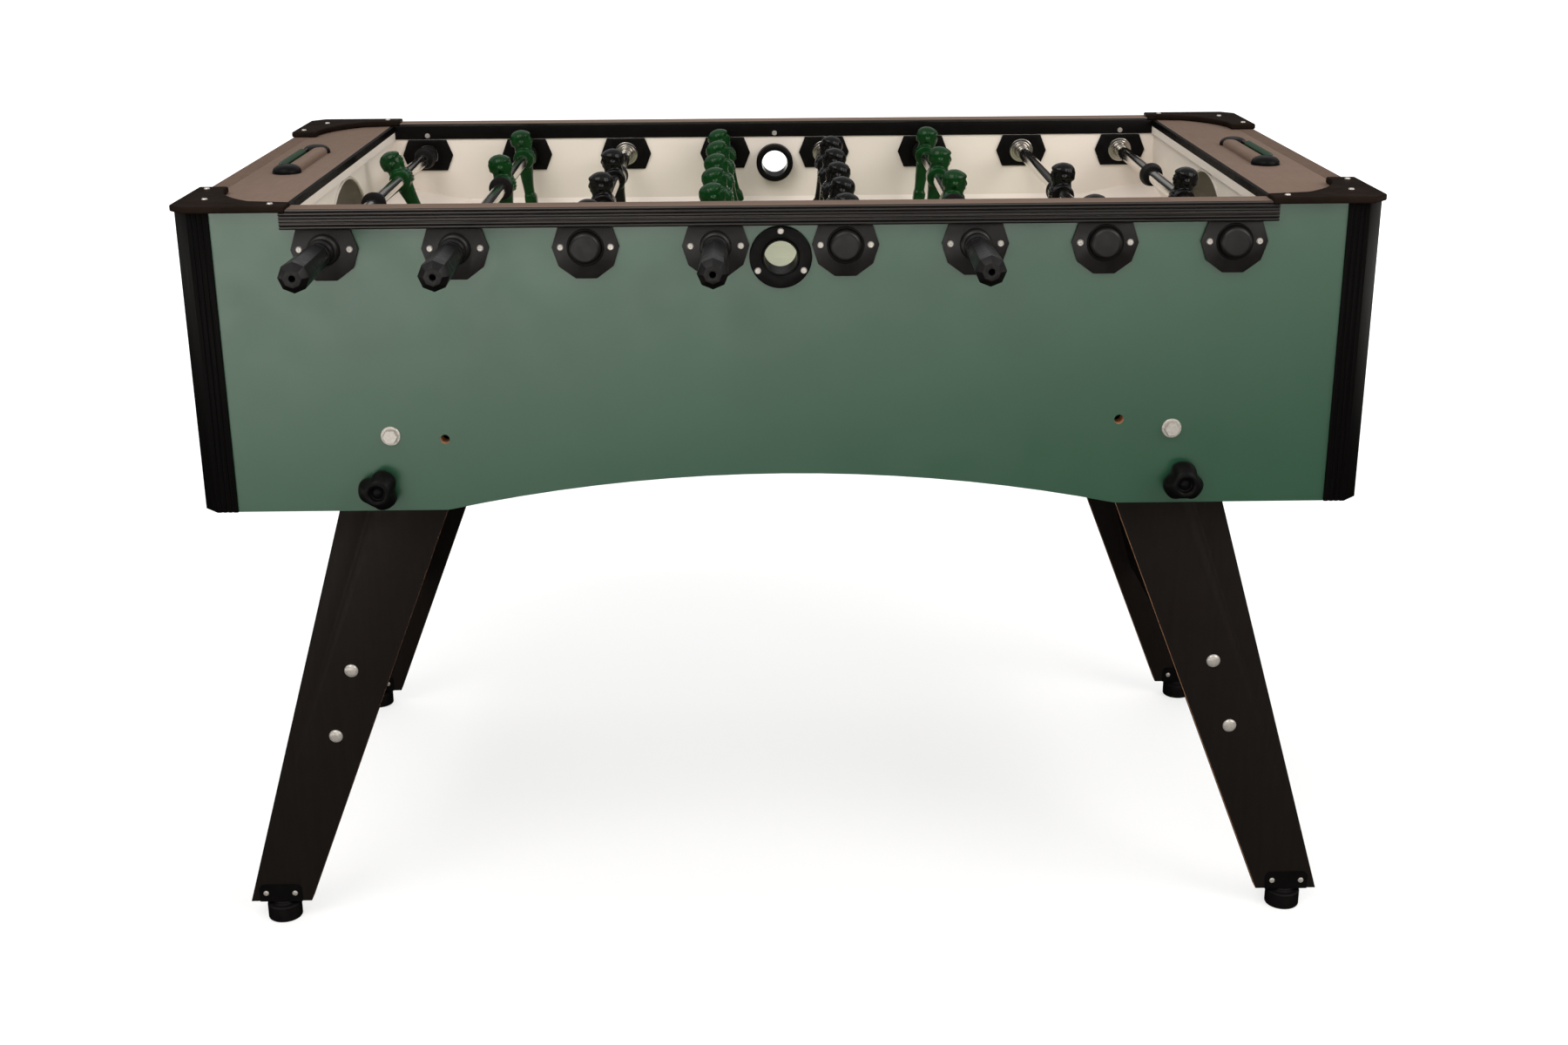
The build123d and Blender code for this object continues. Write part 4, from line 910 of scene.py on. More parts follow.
class TABLE_OT_screws(bpy.types.Operator):
    """Sets the cross-head screws and the leg pivot bolts."""

    bl_idname = "table.screws"
    bl_label = "Screws and bolts"

    def execute(self, context):
        self.cross_screws(sizes())
        self.pivot_bolts()
        return {"FINISHED"}

    def cross_screws(self, size):
        """Screws with a cross cut in a tapered head."""
        head_sides = 20
        top_share = 0.72
        arm_share = 1.05
        tree, start, end, keys = node_tree("cross_screw", ("Head radius", "Head height", "Cross width"))
        radius, height, cross = (start.outputs[label] for label in keys)
        head = tree.nodes.new("GeometryNodeMeshCone")
        head.inputs["Vertices"].default_value = head_sides
        wire(tree, (radius, head.inputs["Radius Bottom"]), (height, head.inputs["Depth"]))
        wire(tree, (worked(tree, "MULTIPLY", radius, top_share), head.inputs["Radius Top"]))
        arm = worked(tree, "MULTIPLY", radius, arm_share)
        cut = tree.nodes.new("GeometryNodeMeshBoolean")
        cut.operation = "DIFFERENCE"
        cut.solver = "EXACT"
        wire(tree, (head.outputs["Mesh"], cut.inputs["Mesh 1"]))
        for x, y in ((arm, cross), (cross, arm)):
            wire(tree, (box_of(tree, x, y, height, height), cut.inputs["Mesh 2"]))
        set_out(tree, (start, end), cut.outputs["Mesh"], "bolt")
        values = {
            keys["Head radius"]: size.screw_radius,
            keys["Head height"]: size.screw_height,
            keys["Cross width"]: size.cross_width,
        }
        screws = grown("cross_screws", self.seats(), tree, values)
        piece("cross_screws", screws, "bolt", CABINET)

    def pivot_bolts(self):
        """Bolts with a washer and a six-sided head outside, and a nut inside the leg."""
        leg_thickness = 18.0 * MM
        nut_gap = 0.3 * MM
        washer = [(11.2, 0.0), (11.5, 0.4), (11.4, 1.4), (10.8, 2.0), (6.0, 2.0)]
        head = [(8.6, 2.0), (9.2, 2.4), (9.2, 6.8), (8.2, 8.0)]
        nut = [(8.6, 0.0), (9.2, 0.5), (9.2, 7.4), (8.4, 8.0)]
        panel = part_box("front_panel")[0].y
        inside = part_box("left_leg_frame")[0].y + leg_thickness + nut_gap
        shank = [(5.0, 0.0), (5.0, (inside - panel) / MM)]
        bolts = bmesh.new()
        for joint in frame["joints"]:
            if not joint["name"].endswith("legs_fold"):
                continue
            x, z = joint["pos_m"][0], joint["pos_m"][2]
            for side in SIDES:
                outer = facing((x, side * -panel, z), (0, side, 0))
                spin(bolts, washer, outer)
                spin(bolts, head, outer, steps=6)
                spin(bolts, nut, facing((x, side * -inside, z), (0, -side, 0)), steps=6)
                spin(bolts, shank, facing((x, side * -inside, z), (0, side, 0)), steps=24)
        piece("pivot_bolts", bolts, "bolt", CABINET, degrees=25.0)

    def seats(self):
        """Place and direction of every screw on the cabinet."""
        dome_depth = 12.0 * MM
        plate_reach = 28.25 * MM
        ring_reach = 30.0 * MM
        rail_inset = 48.0 * MM
        rail_rise = 5.0 * MM
        rail_room = 2.0 * MM
        sunk = 0.3 * MM
        cap_spots = ((14.0, 126.5), (31.5, 51.0), (113.5, 16.5))
        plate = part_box("bearing_housings")[1].y - dome_depth
        ring_low, ring_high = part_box("ball_entries")
        ring_middle = (ring_low.z + ring_high.z) / 2
        rail_low, rail_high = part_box("top_rails")
        rail_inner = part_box("end_walls")[1].y - rail_room
        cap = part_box("corner_caps")[1]
        spots = []
        for side in SIDES:
            for number in range(1, len(RODS) + 1):
                x, z = rod_axis(number)
                for sign in SIDES:
                    spots.append(((x + sign * plate_reach, side * plate, z), (0, side, 0)))
            for angle in (90, 210, 330):
                x = ring_reach * math.cos(math.radians(angle))
                z = ring_middle + ring_reach * math.sin(math.radians(angle))
                spots.append(((x, side * ring_high.y, z), (0, side, 0)))
            for share in (-1, 0, 1):
                x = share * (rail_high.x - rail_inset)
                spots.append(((x, side * rail_inner, rail_low.z + rail_rise), (0, -side, 0)))
            for sign in SIDES:
                for inset, drop in cap_spots:
                    place = (sign * (cap.x - inset * MM), side * (cap.y - drop * MM), cap.z - sunk)
                    spots.append((place, (0, 0, 1)))
        return spots


class TABLE_OT_goals(bpy.types.Operator):
    """Lines the goals and rims their openings."""

    bl_idname = "table.goals"
    bl_label = "Goals"

    half = 130.0 * MM
    rise = 100.0 * MM
    steps = 48

    def execute(self, context):
        self.rims(sizes())
        self.cups()
        return {"FINISHED"}

    def arch(self):
        """Distances across and up along a goal's opening."""
        angles = [math.pi * step / self.steps for step in range(self.steps + 1)]
        return [(self.half * math.cos(angle), self.rise * math.sin(angle)) for angle in angles]

    def rims(self, size):
        """Round rim swept along each opening."""
        section_corners = 10
        tree, start, end, keys = node_tree("goal_rim", ("Rim radius",))
        path = tree.nodes.new("GeometryNodeMeshToCurve")
        section = tree.nodes.new("GeometryNodeCurvePrimitiveCircle")
        section.inputs["Resolution"].default_value = section_corners
        sweep = tree.nodes.new("GeometryNodeCurveToMesh")
        sweep.inputs["Fill Caps"].default_value = True
        wire(tree, (start.outputs["Geometry"], path.inputs["Mesh"]))
        wire(tree, (path.outputs["Curve"], sweep.inputs["Curve"]))
        wire(tree, (start.outputs["Rim radius"], section.inputs["Radius"]))
        wire(tree, (section.outputs["Curve"], sweep.inputs["Profile Curve"]))
        cover(tree, end, sweep.outputs["Mesh"], "goal")
        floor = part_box("playfield")[1]
        points, edges = [], []
        for sign in SIDES:
            first = len(points)
            points += [((sign * floor.x, y, floor.z + z), (sign, 0, 0)) for y, z in self.arch()]
            edges += [(first + step, first + step + 1) for step in range(self.steps)]
        rims = grown("goal_rims", points, tree, {keys["Rim radius"]: size.rim_radius}, edges)
        piece("goal_rims", rims, "goal", CABINET)

    def cups(self):
        """Thin cups behind the openings; each row is a depth and the share of the opening there."""
        gap = 0.5 * MM
        thickness = 0.8 * MM
        depths = (
            (0.0, 0.99), (16.0, 0.985), (30.0, 0.96), (42.0, 0.89), (49.0, 0.76), (53.0, 0.5), (54.0, 0.02),
        )
        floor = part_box("playfield")[1]
        cups = bmesh.new()
        for sign in SIDES:
            rows = []
            for y, z in self.arch():
                row = []
                for depth, share in depths:
                    x = sign * (floor.x + gap + depth * MM)
                    row.append(cups.verts.new((x, y * share, floor.z + z * share)))
                rows.append(row)
            for here, there in zip(rows, rows[1:]):
                for index in range(len(here) - 1):
                    corners = (here[index], here[index + 1], there[index + 1], there[index])
                    cups.faces.new(corners if sign > 0 else corners[::-1])
        bmesh.ops.solidify(cups, geom=cups.faces[:], thickness=thickness)
        outward(cups)
        piece("goal_cups", cups, "goal", CABINET)


class TABLE_OT_counters(bpy.types.Operator):
    """Builds the score counters with their domes, bars and rows of beads."""

    bl_idname = "table.counters"
    bl_label = "Score counters"

    def execute(self, context):
        self.domes_and_bars()
        self.beads(sizes())
        return {"FINISHED"}

    def domes_and_bars(self):
        """Dome at each end of a counter, and the half-round bar between them."""
        dome_radius = 18.0
        bar_shift = 5.75 * MM
        dome = [
            (dome_radius, 0.0), (dome_radius, 2.4), (17.3, 4.6), (15.6, 6.9), (12.8, 8.9), (9.2, 10.2),
            (5.0, 10.9), (1.0, 11.0),
        ]
        half_round = [
            (-10.0, 0.0), (-10.0, 3.4), (-8.6, 6.2), (-6.0, 8.2), (-2.6, 9.0), (2.6, 9.0), (6.0, 8.2),
            (8.6, 6.2), (10.0, 3.4), (10.0, 0.0),
        ]
        low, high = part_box("score_frames")
        reach = high.y - dome_radius * MM
        dark, bars = bmesh.new(), bmesh.new()
        for sign in SIDES:
            middle = high.x - dome_radius * MM
            for side in SIDES:
                place = Matrix.Translation((sign * middle, side * reach, low.z))
                spin(dark, dome, place, steps=36)
            rows = []
            for y in (-reach, reach):
                places = [(sign * (middle - bar_shift + x * MM), y, low.z + z * MM) for x, z in half_round]
                rows.append([bars.verts.new(place) for place in places])
            skin(bars, rows)
        outward(dark, bars)
        piece("counter_domes", dark, "ring", CABINET, ("score_frames",))
        piece("counter_bars", bars, "top", CABINET)

    def beads(self, size):
        """Rows of ringed beads on their wires."""
        bead_corners = 18
        end_share = 0.5
        half_share = 0.4
        gap = 0.5 * MM
        wire_radius = 2.0
        wire_room = 20.0 * MM
        tree, start, end, keys = node_tree("bead", ("Bead radius", "Bead length"))
        radius, reach = start.outputs["Bead radius"], start.outputs["Bead length"]
        both = tree.nodes.new("GeometryNodeJoinGeometry")
        for angle in (0.0, math.pi):
            half = tree.nodes.new("GeometryNodeMeshCone")
            half.inputs["Vertices"].default_value = bead_corners
            half.inputs["Side Segments"].default_value = 2
            depth = worked(tree, "MULTIPLY", reach, half_share)
            wire(tree, (radius, half.inputs["Radius Bottom"]), (depth, half.inputs["Depth"]))
            wire(tree, (worked(tree, "MULTIPLY", radius, end_share), half.inputs["Radius Top"]))
            wire(tree, (turned(tree, half.outputs["Mesh"], angle), both.inputs["Geometry"]))
        set_out(tree, (start, end), both.outputs["Geometry"], "bead")
        frame_low, frame_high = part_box("score_frames")
        span = frame_high.y - frame_low.y - 2 * wire_room
        wires = bmesh.new()
        for hand in ("left", "right"):
            first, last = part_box(f"{hand}_beads")
            x, z = (first.x + last.x) / 2, (first.z + last.z) / 2
            count = round((last.y - first.y) / (size.bead_length + gap))
            pitch = (last.y - first.y + gap) / count
            points = [
                ((x, first.y + pitch * (index + 0.5) - gap / 2, z), (0.0, 1.0, 0.0))
                for index in range(count)
            ]
            values = {keys["Bead radius"]: size.bead_radius, keys["Bead length"]: pitch}
            row = grown(f"{hand}_bead_row", points, tree, values)
            piece(f"{hand}_bead_row", row, "bead", f"{hand}_score", (f"{hand}_beads",))
            place = facing((x, frame_low.y + wire_room, z), (0, 1, 0))
            spin(wires, [(wire_radius, 0.0), (wire_radius, span / MM)], place, steps=16)
        piece("counter_wires", wires, "plastic", CABINET)


class TABLE_OT_legs(bpy.types.Operator):
    """Rounds the leg frames, their fittings, the feet and the lock knobs."""

    bl_idname = "table.legs"
    bl_label = "Legs"

    def execute(self, context):
        size = sizes()
        for hand, sign in (("left", -1), ("right", 1)):
            self.boards(hand, sign, size)
            self.fittings(hand, size)
            self.knobs(hand, size)
            for place in ("front", "back"):
                node = f"{place}_{hand}_foot"
                softened(f"{node}_pad", node, size.foot_edge, "bumper", f"{node}_screw")
        return {"FINISHED"}

    def boards(self, hand, sign, size):
        """Leg boards with a raw line along their inner edges."""
        node = f"{hand}_leg_frame"
        slanted = 0.3
        shape = round_edges(solid_copy(node), size.board_edge)

        def choose(part):
            """Roundings toward the table's middle are raw."""
            return 1 if part.normal.x * sign < -slanted and abs(part.normal.y) > slanted else 0

        mesh = painted(f"{hand}_leg_boards", shape, ("leg", "raw"), choose)
        piece(f"{hand}_leg_boards", mesh, "leg", f"{hand}_legs", (node,))

    def fittings(self, hand, size):
        """Domed bolts, pivot spacers, and foot brackets with their screws on both leg faces."""
        node, body = f"{hand}_leg_hardware", f"{hand}_legs"
        dome = [(8.5, 0.0), (8.5, 0.4), (7.9, 1.4), (6.6, 2.4), (4.8, 3.0), (2.5, 3.35), (0.4, 3.4)]
        head = [(3.5, 0.0), (3.5, 0.4), (3.1, 1.0), (2.0, 1.4), (0.3, 1.6)]
        foot_low, foot_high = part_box(f"back_{hand}_foot")
        middle = (foot_low.y + foot_high.y) / 2
        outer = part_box(f"{hand}_leg_frame")[1].y
        bolts, plates = bmesh.new(), bmesh.new()
        for low, high in solids_of(node):
            span, centre = high - low, (low + high) / 2
            side = math.copysign(1.0, centre.y)
            seat = facing((centre.x, side * outer, centre.z), (0, side, 0))
            if span.x < size.dome_span:
                spin(bolts, dome, seat)
            elif span.x < size.spacer_span:
                radius = span.x / 2 / MM
                spin(bolts, [(radius, 0.0), (radius, span.y / MM)], seat)
            else:
                for way in (1, -1):
                    face = side * (middle + way * (outer - middle))
                    past = face + side * way * size.bracket_thickness
                    self.plate(plates, (low.x, face, low.z), (high.x, past, high.z), size)
                    for shift in (-size.bracket_screws / 2, size.bracket_screws / 2):
                        place = facing((centre.x + shift, past, centre.z), (0, side * way, 0))
                        spin(bolts, head, place, steps=24)
        outward(bolts, plates)
        piece(f"{hand}_leg_bolts", bolts, "bolt", body, (node,))
        piece(f"{hand}_foot_brackets", plates, "ring", body)

    def plate(self, shape, near, far, size):
        """One upright plate with round upper corners between two places."""
        outline = [(near[0], near[2]), (far[0], near[2])]
        radius, steps = size.bracket_corner, 6
        for x, start in ((far[0] - radius, 0.0), (near[0] + radius, math.pi / 2)):
            for step in range(steps + 1):
                angle = start + math.pi / 2 * step / steps
                outline.append((x + radius * math.cos(angle), far[2] - radius + radius * math.sin(angle)))
        skin(shape, [[shape.verts.new((x, y, z)) for x, z in outline] for y in (near[1], far[1])])

    def knobs(self, hand, size):
        """Lock knobs with three lobes, a round hub and a dimple.

        A row of the outline is a radius, a height from the panel and the share of the notches there.
        """
        steps = 72
        lobes = 3
        notch_power = 2.5
        outline = [
            (5.4, -19.9, 0.0), (5.4, 0.3, 0.0), (12.6, 0.3, 0.0), (13.0, 1.0, 0.0), (13.0, 7.0, 0.0),
            (21.0, 8.2, 0.9), (23.4, 9.6, 1.0), (24.0, 12.0, 1.0), (24.0, 17.0, 1.0), (23.4, 20.5, 1.0),
            (22.0, 23.6, 0.95), (20.0, 26.4, 0.8), (18.0, 28.8, 0.5), (16.4, 30.8, 0.2), (14.6, 32.2, 0.0),
            (12.6, 32.9, 0.0), (11.4, 33.0, 0.0), (10.0, 32.6, 0.0), (9.0, 31.6, 0.0), (8.5, 30.0, 0.0),
            (8.3, 26.5, 0.0), (7.2, 26.0, 0.0), (6.2, 26.4, 0.0), (5.2, 27.6, 0.0), (3.0, 28.2, 0.0),
            (1.0, 28.4, 0.0),
        ]
        node = f"{hand}_lock_knobs"
        low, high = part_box(node)
        x, z = (low.x + high.x) / 2, (low.z + high.z) / 2
        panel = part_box("back_panel")[1].y
        scale = (high.z - low.z) / 2 / max(reach for reach, height, lobed in outline)
        lift = (high.y - panel) / max(height for reach, height, lobed in outline)
        turn = math.radians(30.0) if hand == "right" else 0.0
        shape = bmesh.new()
        for side in SIDES:
            rings = []
            for reach, height, lobed in outline:
                y = side * (panel + height * lift)
                ring = []
                for step in range(steps):
                    angle = 2 * math.pi * step / steps
                    notch = (0.5 + 0.5 * math.cos(lobes * (angle - turn))) ** notch_power
                    far = reach * scale * (1 - size.knob_notch * lobed * notch)
                    ring.append(shape.verts.new((x + far * math.cos(angle), y, z + far * math.sin(angle))))
                rings.append(ring)
            skin(shape, rings)
        outward(shape)
        piece(f"{hand}_lobed_knobs", shape, "ring", f"{hand}_knobs", (node,))


class TABLE_OT_rods(bpy.types.Operator):
    """Turns the tubes and shafts, and rounds the grips and bumpers."""

    bl_idname = "table.rods"
    bl_label = "Rods"

    def execute(self, context):
        size = sizes()
        for number in range(1, len(RODS) + 1):
            self.tube(number)
            self.core(number)
            self.grip(number, size)
            self.bumpers(number)
        return {"FINISHED"}

    def along(self, number, node):
        """Place at the front end of a rod's node, looking along it, and its length in millimetres."""
        x, z = rod_axis(number)
        low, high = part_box(node)
        return facing((x, low.y, z), (0, 1, 0)), (high.y - low.y) / MM

    def tube(self, number):
        """Chrome tube with broken edges."""
        node = f"rod_{number}_tube"
        bore, edge, outside, bevel = 5.1, 8.6, 9.0, 0.4
        place, span = self.along(number, node)
        outline = [
            (bore, 0.0), (edge, 0.0), (outside, bevel), (outside, span - bevel), (edge, span), (bore, span),
        ]
        shape = bmesh.new()
        spin(shape, outline, place, steps=48, closed=True)
        outward(shape)
        piece(f"rod_{number}_chrome", shape, "chrome", f"rod_{number}", (node,))

    def core(self, number):
        """Thin inner shaft."""
        node = f"rod_{number}_shaft"
        radius = 5.0
        place, span = self.along(number, node)
        shape = bmesh.new()
        spin(shape, [(radius, 0.0), (radius, span)], place, steps=32)
        piece(f"rod_{number}_core", shape, "chrome", f"rod_{number}_core", (node,))

    def grip(self, number, size):
        """Grip, the part of its node that lies outside the bearings."""
        node = f"rod_{number}_grip_bumpers"
        side = rod_side(number)
        play = 1.0 * MM
        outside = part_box("bearing_housings")[1].y - play
        shape = solid_copy(node, lambda middle: middle.y * side > outside)
        round_edges(shape, size.grip_edge, segments=3, degrees=20.0)
        name = f"rod_{number}_grip"
        piece(name, shape, "grip", f"rod_{number}", (node,), degrees=50.0)

    def bumpers(self, number):
        """Tapered bumpers beside the outer men, or at the goalkeeper's stops."""
        beside_man = 24.0 * MM
        keeper_stop = 196.0 * MM
        bush = [
            (9.02, -9.0), (12.0, -9.0), (13.0, -8.5), (13.6, -7.2), (15.6, 4.8), (15.9, 6.6), (15.4, 8.2),
            (14.2, 9.0), (9.02, 9.0),
        ]
        _, count, spacing, _ = RODS[number - 1]
        x, z = rod_axis(number)
        low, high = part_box(f"rod_{number}_men")
        middle = (low.y + high.y) / 2
        offset = keeper_stop if count == 1 else spacing * (count - 1) / 2 + beside_man
        shape = bmesh.new()
        for end in SIDES:
            spin(shape, bush, facing((x, middle + end * offset, z), (0, end, 0)), closed=True)
        outward(shape)
        piece(f"rod_{number}_bumpers", shape, "bumper", f"rod_{number}")


def ring_of(z, front, back, half, power=2.4, lift=0.0):
    """Rounded cross-section of a man, in millimetres; lift raises its front and lowers its back."""
    corners = 20
    ring = []
    for corner in range(corners):
        angle = 2 * math.pi * corner / corners
        c, s = math.cos(angle), math.sin(angle)
        x = math.copysign(abs(c) ** (2 / power), c) * (front if c > 0 else back)
        y = math.copysign(abs(s) ** (2 / power), s) * half
        ring.append(Vector((x, y, z + lift * x)))
    return ring


def stack(shape, sections):
    """Closed skin over cross-sections from bottom to top."""
    skin(shape, [[shape.verts.new(point * MM) for point in ring_of(*row)] for row in sections])


def blob(shape, place, radii, turn=0.0):
    """Ellipsoid in millimetres, leaned about the rod's direction."""
    matrix = (
        Matrix.Translation(Vector(place) * MM)
        @ Matrix.Rotation(math.radians(turn), 4, "Y")
        @ Matrix.Diagonal((*[radius * MM for radius in radii], 1.0))
    )
    bmesh.ops.create_uvsphere(shape, u_segments=20, v_segments=14, radius=1.0, matrix=matrix)


def man_shape():
    """One moulded man that faces +X on a rod along Y through the origin.

    A section is its height, its reach to the front and back, its half width, its squareness and its lift.
    """
    body = [
        (-68.0, 8.6, 6.8, 9.8, 5.0), (-67.0, 9.6, 7.7, 10.8, 5.0), (-59.0, 9.8, 7.9, 11.0, 5.0),
        (-54.5, 9.4, 7.8, 10.6, 4.5), (-53.0, 8.0, 7.4, 9.8, 3.6), (-50.0, 7.3, 7.3, 9.2, 3.0),
        (-42.0, 7.5, 7.8, 9.2, 2.8), (-33.0, 8.2, 8.9, 9.6, 2.6), (-26.0, 9.0, 9.4, 10.2, 2.5),
        (-18.0, 10.2, 10.2, 11.2, 2.6), (-8.0, 11.8, 11.6, 12.2, 2.5), (4.0, 12.6, 12.4, 13.0, 2.5),
        (9.5, 13.0, 12.4, 12.6, 2.4), (12.5, 12.9, 12.0, 11.6, 2.3), (15.0, 13.1, 11.9, 11.0, 2.2),
        (17.0, 13.6, 12.2, 11.0, 2.2), (20.0, 14.1, 13.2, 11.4, 2.2), (24.0, 14.4, 14.6, 12.0, 2.2),
        (28.5, 14.1, 15.6, 12.2, 2.1), (32.5, 13.2, 15.8, 11.8, 2.1), (36.0, 10.8, 13.6, 9.8, 2.1),
        (38.6, 7.2, 9.6, 7.0, 2.0), (40.2, 2.6, 4.0, 3.0, 2.0),
    ]
    hair = [
        (25.2, 13.0, 13.8, 11.6, 2.1, 0.55), (26.6, 14.4, 16.0, 12.8, 2.1, 0.48),
        (31.6, 14.4, 17.0, 13.0, 2.1, 0.22), (35.4, 12.4, 15.4, 11.4, 2.1, 0.1),
        (38.4, 8.8, 11.6, 8.4, 2.05, 0.03), (40.3, 4.4, 6.6, 4.6, 2.0), (41.0, 1.2, 2.2, 1.4, 2.0),
    ]
    collar = [
        (11.8, -15.0), (13.6, -14.5), (14.5, -13.2), (14.7, -11.0), (14.7, 11.0), (14.5, 13.2), (13.6, 14.5),
        (11.8, 15.0),
    ]
    jersey_folds = ((9.0, 13.6), (5.0, 15.4), (1.0, 16.0), (-3.0, 15.6), (-7.0, 14.2))
    shape = bmesh.new()
    stack(shape, body)
    stack(shape, hair)
    spin(shape, collar, facing((0, 0, 0), (0, 1, 0)), steps=36)
    # Ears in two forms each, and the brows
    for side in SIDES:
        blob(shape, (-0.5, side * 11.9, 23.4), (4.4, 2.8, 4.4))
        blob(shape, (-0.5, side * 13.9, 23.4), (2.1, 1.6, 2.1))
        blob(shape, (12.6, side * 4.6, 28.2), (2.2, 3.0, 1.1))
    for rise, reach in jersey_folds:
        blob(shape, (reach, 0.0, rise), (1.9, 9.6, 1.5))
    # Nose and mouth
    blob(shape, (14.2, 0.0, 25.0), (2.2, 1.8, 2.8), turn=-14.0)
    blob(shape, (13.2, 0.0, 19.4), (1.8, 4.6, 1.7))
    return shape


def moulded(shape, grain):
    """Runs overlapping forms into one moulded skin with softened joins and strands of hair."""
    hairline, hairline_slope, fade = 30.5, 0.3, 2.0
    strand_depth, strand_count, crown = 0.16, 15.0, 4.0
    mesh = mesh_of("man_form", shape)
    holder = bpy.data.objects.new("man_form", mesh)
    bpy.context.scene.collection.objects.link(holder)
    join = holder.modifiers.new("join", "REMESH")
    join.mode = "VOXEL"
    join.voxel_size = grain
    ease = holder.modifiers.new("ease", "SMOOTH")
    ease.factor = 0.5
    ease.iterations = 3
    made = evaluated(holder)
    bpy.data.objects.remove(holder)
    bpy.data.meshes.remove(mesh)
    strands = []
    for corner in made.vertices:
        place = corner.co / MM
        rise = place.z - hairline - hairline_slope * place.x
        depth = strand_depth * min(1.0, max(0.0, rise / fade))
        wave = math.sin(strand_count * math.atan2(place.y, place.x + crown))
        strands.append(corner.co + corner.normal * (depth * wave * MM))
    for corner, place in zip(made.vertices, strands):
        corner.co = place
    return made


class TABLE_OT_men(bpy.types.Operator):
    """Moulds the men and sets each team's on their rods."""

    bl_idname = "table.men"
    bl_label = "Men"

    def execute(self, context):
        form = moulded(man_shape(), sizes().man_grain)
        for number, (team, count, spacing, lean) in enumerate(RODS, start=1):
            node = f"rod_{number}_men"
            x, z = rod_axis(number)
            low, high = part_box(node)
            middle = (low.y + high.y) / 2
            turn = Matrix.Rotation(math.radians(lean), 4, "Y")
            if team == "black":
                turn = turn @ Matrix.Rotation(math.pi, 4, "Z")
            men = bmesh.new()
            for index in range(count):
                place = (x, middle + (index - (count - 1) / 2) * spacing, z)
                copy = form.copy()
                copy.transform(Matrix.Translation(place) @ turn)
                men.from_mesh(copy)
                bpy.data.meshes.remove(copy)
            name, material = f"rod_{number}_figures", f"team_{team}"
            piece(name, men, material, f"rod_{number}", (node,), degrees=80.0)
        bpy.data.meshes.remove(form)
        return {"FINISHED"}


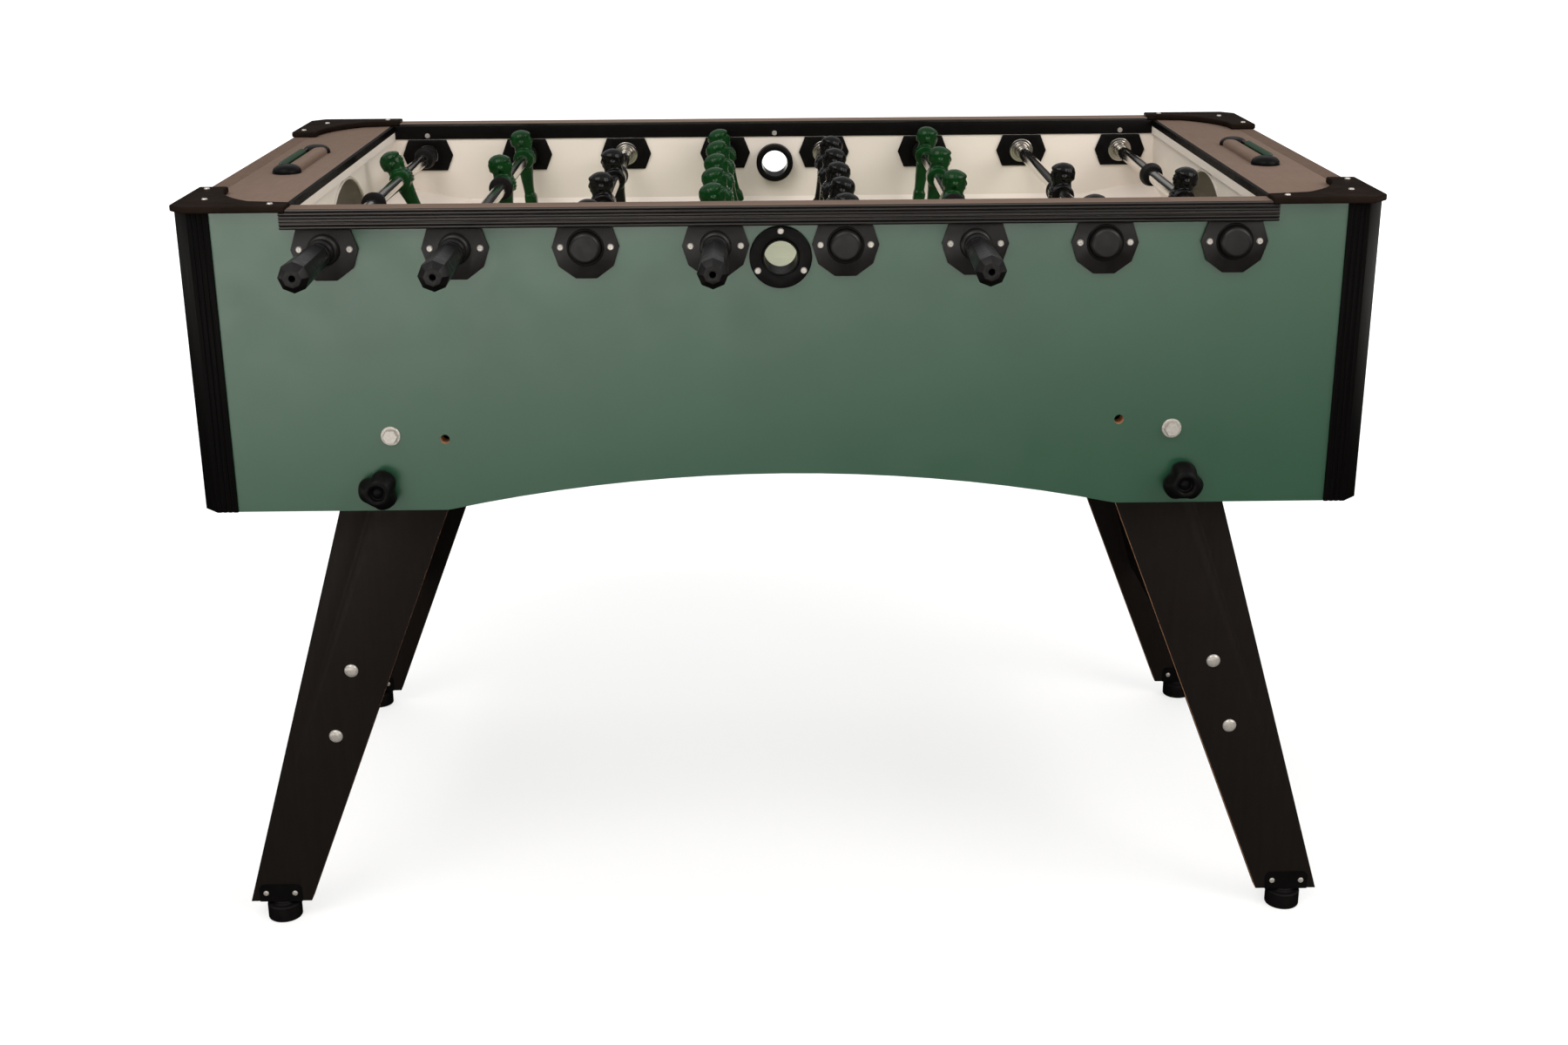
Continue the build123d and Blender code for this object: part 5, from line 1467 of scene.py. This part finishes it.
class TABLE_OT_stage(bpy.types.Operator):
    """Sets the floor, the lamps and the camera."""

    bl_idname = "table.stage"
    bl_label = "Stage"

    def execute(self, context):
        scene = context.scene
        scene.view_settings.view_transform = "Standard"
        self.floor(scene)
        self.world(scene)
        for lamp in LAMPS:
            self.lamp(scene, *lamp)
        self.camera(scene)
        return {"FINISHED"}

    def floor(self, scene):
        """Pale floor that shows almost white and keeps the table's shadow."""
        reach = 40.0
        ground = bmesh.new()
        bmesh.ops.create_grid(ground, x_segments=1, y_segments=1, size=reach)
        thing = bpy.data.objects.new("floor", mesh_of("floor", ground))
        scene.collection.objects.link(thing)
        thing.data.materials.append(self.floor_finish())

    def floor_finish(self):
        """Grey that glows for the camera, more so away from the table, and as bright walls in mirrors.

        Each pair is a distance and a brightness there.
        """
        near, far = (0.9, 0.62), (4.0, 0.97)
        wall_start, wall_end = (1.3, 0.0), (4.2, 3.9)
        wall_direction = (-0.46, -0.62, 0.0)
        pale = Finish("pale_floor", (0.4, 0.4, 0.4), 0.8)
        pale.tint(pale.noise(3.0, detail=4.0), 0.99, 1.01)
        tree = pale.tree
        seen = tree.nodes.new("ShaderNodeLightPath")
        away = tree.nodes.new("ShaderNodeVectorMath")
        away.operation = "LENGTH"
        tree.links.new(pale.place, away.inputs[0])
        level = mapped(tree, away.outputs["Value"], near[0], far[0], near[1], far[1])
        pale.put("Emission Color", (1.0, 1.0, 1.0, 1.0))
        pale.drive("Emission Strength", worked(tree, "MULTIPLY", seen.outputs["Is Camera Ray"], level))
        sweep = tree.nodes.new("ShaderNodeVectorMath")
        sweep.operation = "DOT_PRODUCT"
        sweep.inputs[1].default_value = wall_direction
        tree.links.new(pale.place, sweep.inputs[0])
        distance = worked(tree, "ABSOLUTE", sweep.outputs["Value"])
        shine = mapped(tree, distance, wall_start[0], wall_end[0], wall_start[1], wall_end[1])
        mirror = tree.nodes.new("ShaderNodeEmission")
        mirror.inputs["Color"].default_value = (1.0, 0.98, 0.93, 1.0)
        mix = tree.nodes.new("ShaderNodeMixShader")
        wire(tree, (shine, mirror.inputs["Strength"]), (seen.outputs["Is Glossy Ray"], mix.inputs[0]))
        wire(tree, (pale.shader.outputs["BSDF"], mix.inputs[1]), (mirror.outputs["Emission"], mix.inputs[2]))
        wire(tree, (mix.outputs["Shader"], tree.nodes["Material Output"].inputs["Surface"]))
        return pale.material

    def world(self, scene):
        """Soft white ceiling that fades toward the horizon; each pair is a height and a brightness."""
        low, high = (0.2, 0.04), (0.36, 0.8)
        surround = bpy.data.worlds.new("studio")
        scene.world = surround
        surround.use_nodes = True
        tree = surround.node_tree
        back = tree.nodes["Background"]
        back.inputs["Color"].default_value = (1.0, 1.0, 1.0, 1.0)
        ray = tree.nodes.new("ShaderNodeTexCoord").outputs["Generated"]
        parts = tree.nodes.new("ShaderNodeSeparateXYZ")
        tree.links.new(ray, parts.inputs["Vector"])
        level = mapped(tree, parts.outputs["Z"], low[0], high[0], low[1], high[1])
        seen = tree.nodes.new("ShaderNodeLightPath")
        glow = worked(tree, "MAXIMUM", level, seen.outputs["Is Camera Ray"])
        tree.links.new(glow, back.inputs["Strength"])

    def lamp(self, scene, name, place, target, size, power, mirrored):
        """One soft lamp aimed at a point."""
        data = bpy.data.lights.new(name, "AREA")
        data.shape = "RECTANGLE"
        data.size, data.size_y = size
        data.energy = power
        data.color = (1.0, 0.97, 0.93)
        thing = bpy.data.objects.new(name, data)
        thing.location = place
        aim = Vector(target) - Vector(place)
        thing.rotation_euler = aim.to_track_quat("-Z", "Y").to_euler()
        thing.visible_glossy = mirrored
        scene.collection.objects.link(thing)

    def camera(self, scene):
        """Camera in front of the table, a little above it."""
        stand = (-0.0241, -2.5310, 1.2866)
        pitch, yaw, roll = math.radians(19.01), math.radians(0.683), math.radians(-0.398)
        data = bpy.data.cameras.new("camera")
        data.sensor_width = 36.0
        data.sensor_fit = "HORIZONTAL"
        data.lens = 44.25
        data.clip_end = 200.0
        thing = bpy.data.objects.new("camera", data)
        scene.collection.objects.link(thing)
        ahead = Vector((math.sin(yaw) * math.cos(pitch), math.cos(yaw) * math.cos(pitch), -math.sin(pitch)))
        right = Vector((math.cos(yaw), -math.sin(yaw), 0.0))
        up = right.cross(ahead)
        across = right * math.cos(roll) + up * math.sin(roll)
        over = up * math.cos(roll) - right * math.sin(roll)
        turn = Matrix((across, over, -ahead)).transposed().to_4x4()
        thing.matrix_world = Matrix.Translation(stand) @ turn
        scene.camera = thing


OPERATORS = (
    TABLE_OT_boards,
    TABLE_OT_end_trims,
    TABLE_OT_profiles,
    TABLE_OT_bearings,
    TABLE_OT_screws,
    TABLE_OT_goals,
    TABLE_OT_counters,
    TABLE_OT_legs,
    TABLE_OT_rods,
    TABLE_OT_men,
    TABLE_OT_stage,
)


class TABLE_PT_sidebar(bpy.types.Panel):
    """Lists the table's pieces, sizes and colours."""

    bl_idname = "TABLE_PT_sidebar"
    bl_label = "Football table"
    bl_space_type = "VIEW_3D"
    bl_region_type = "UI"
    bl_category = "Table"

    def draw(self, context):
        column = self.layout.column()
        for operator in OPERATORS:
            column.operator(operator.bl_idname)
        for group in (context.scene.table_sizes, context.scene.table_colours):
            for key in group.__annotations__:
                column.prop(group, key)


CLASSES = (TableColours, TableSizes, *OPERATORS, TABLE_PT_sidebar)


def register():
    """Registers the classes and the scene's settings."""
    for item in CLASSES:
        bpy.utils.register_class(item)
    bpy.types.Scene.table_colours = PointerProperty(type=TableColours)
    bpy.types.Scene.table_sizes = PointerProperty(type=TableSizes)


def unregister():
    """Removes what register adds."""
    del bpy.types.Scene.table_sizes
    del bpy.types.Scene.table_colours
    for item in reversed(CLASSES):
        bpy.utils.unregister_class(item)


def main():
    """Builds the dressed table."""
    register()
    bpy.ops.table.stage()
    bpy.ops.table.boards()
    bpy.ops.table.end_trims()
    bpy.ops.table.profiles()
    bpy.ops.table.bearings()
    bpy.ops.table.screws()
    bpy.ops.table.goals()
    bpy.ops.table.counters()
    bpy.ops.table.legs()
    bpy.ops.table.rods()
    bpy.ops.table.men()


if __name__ == "__main__":
    main()
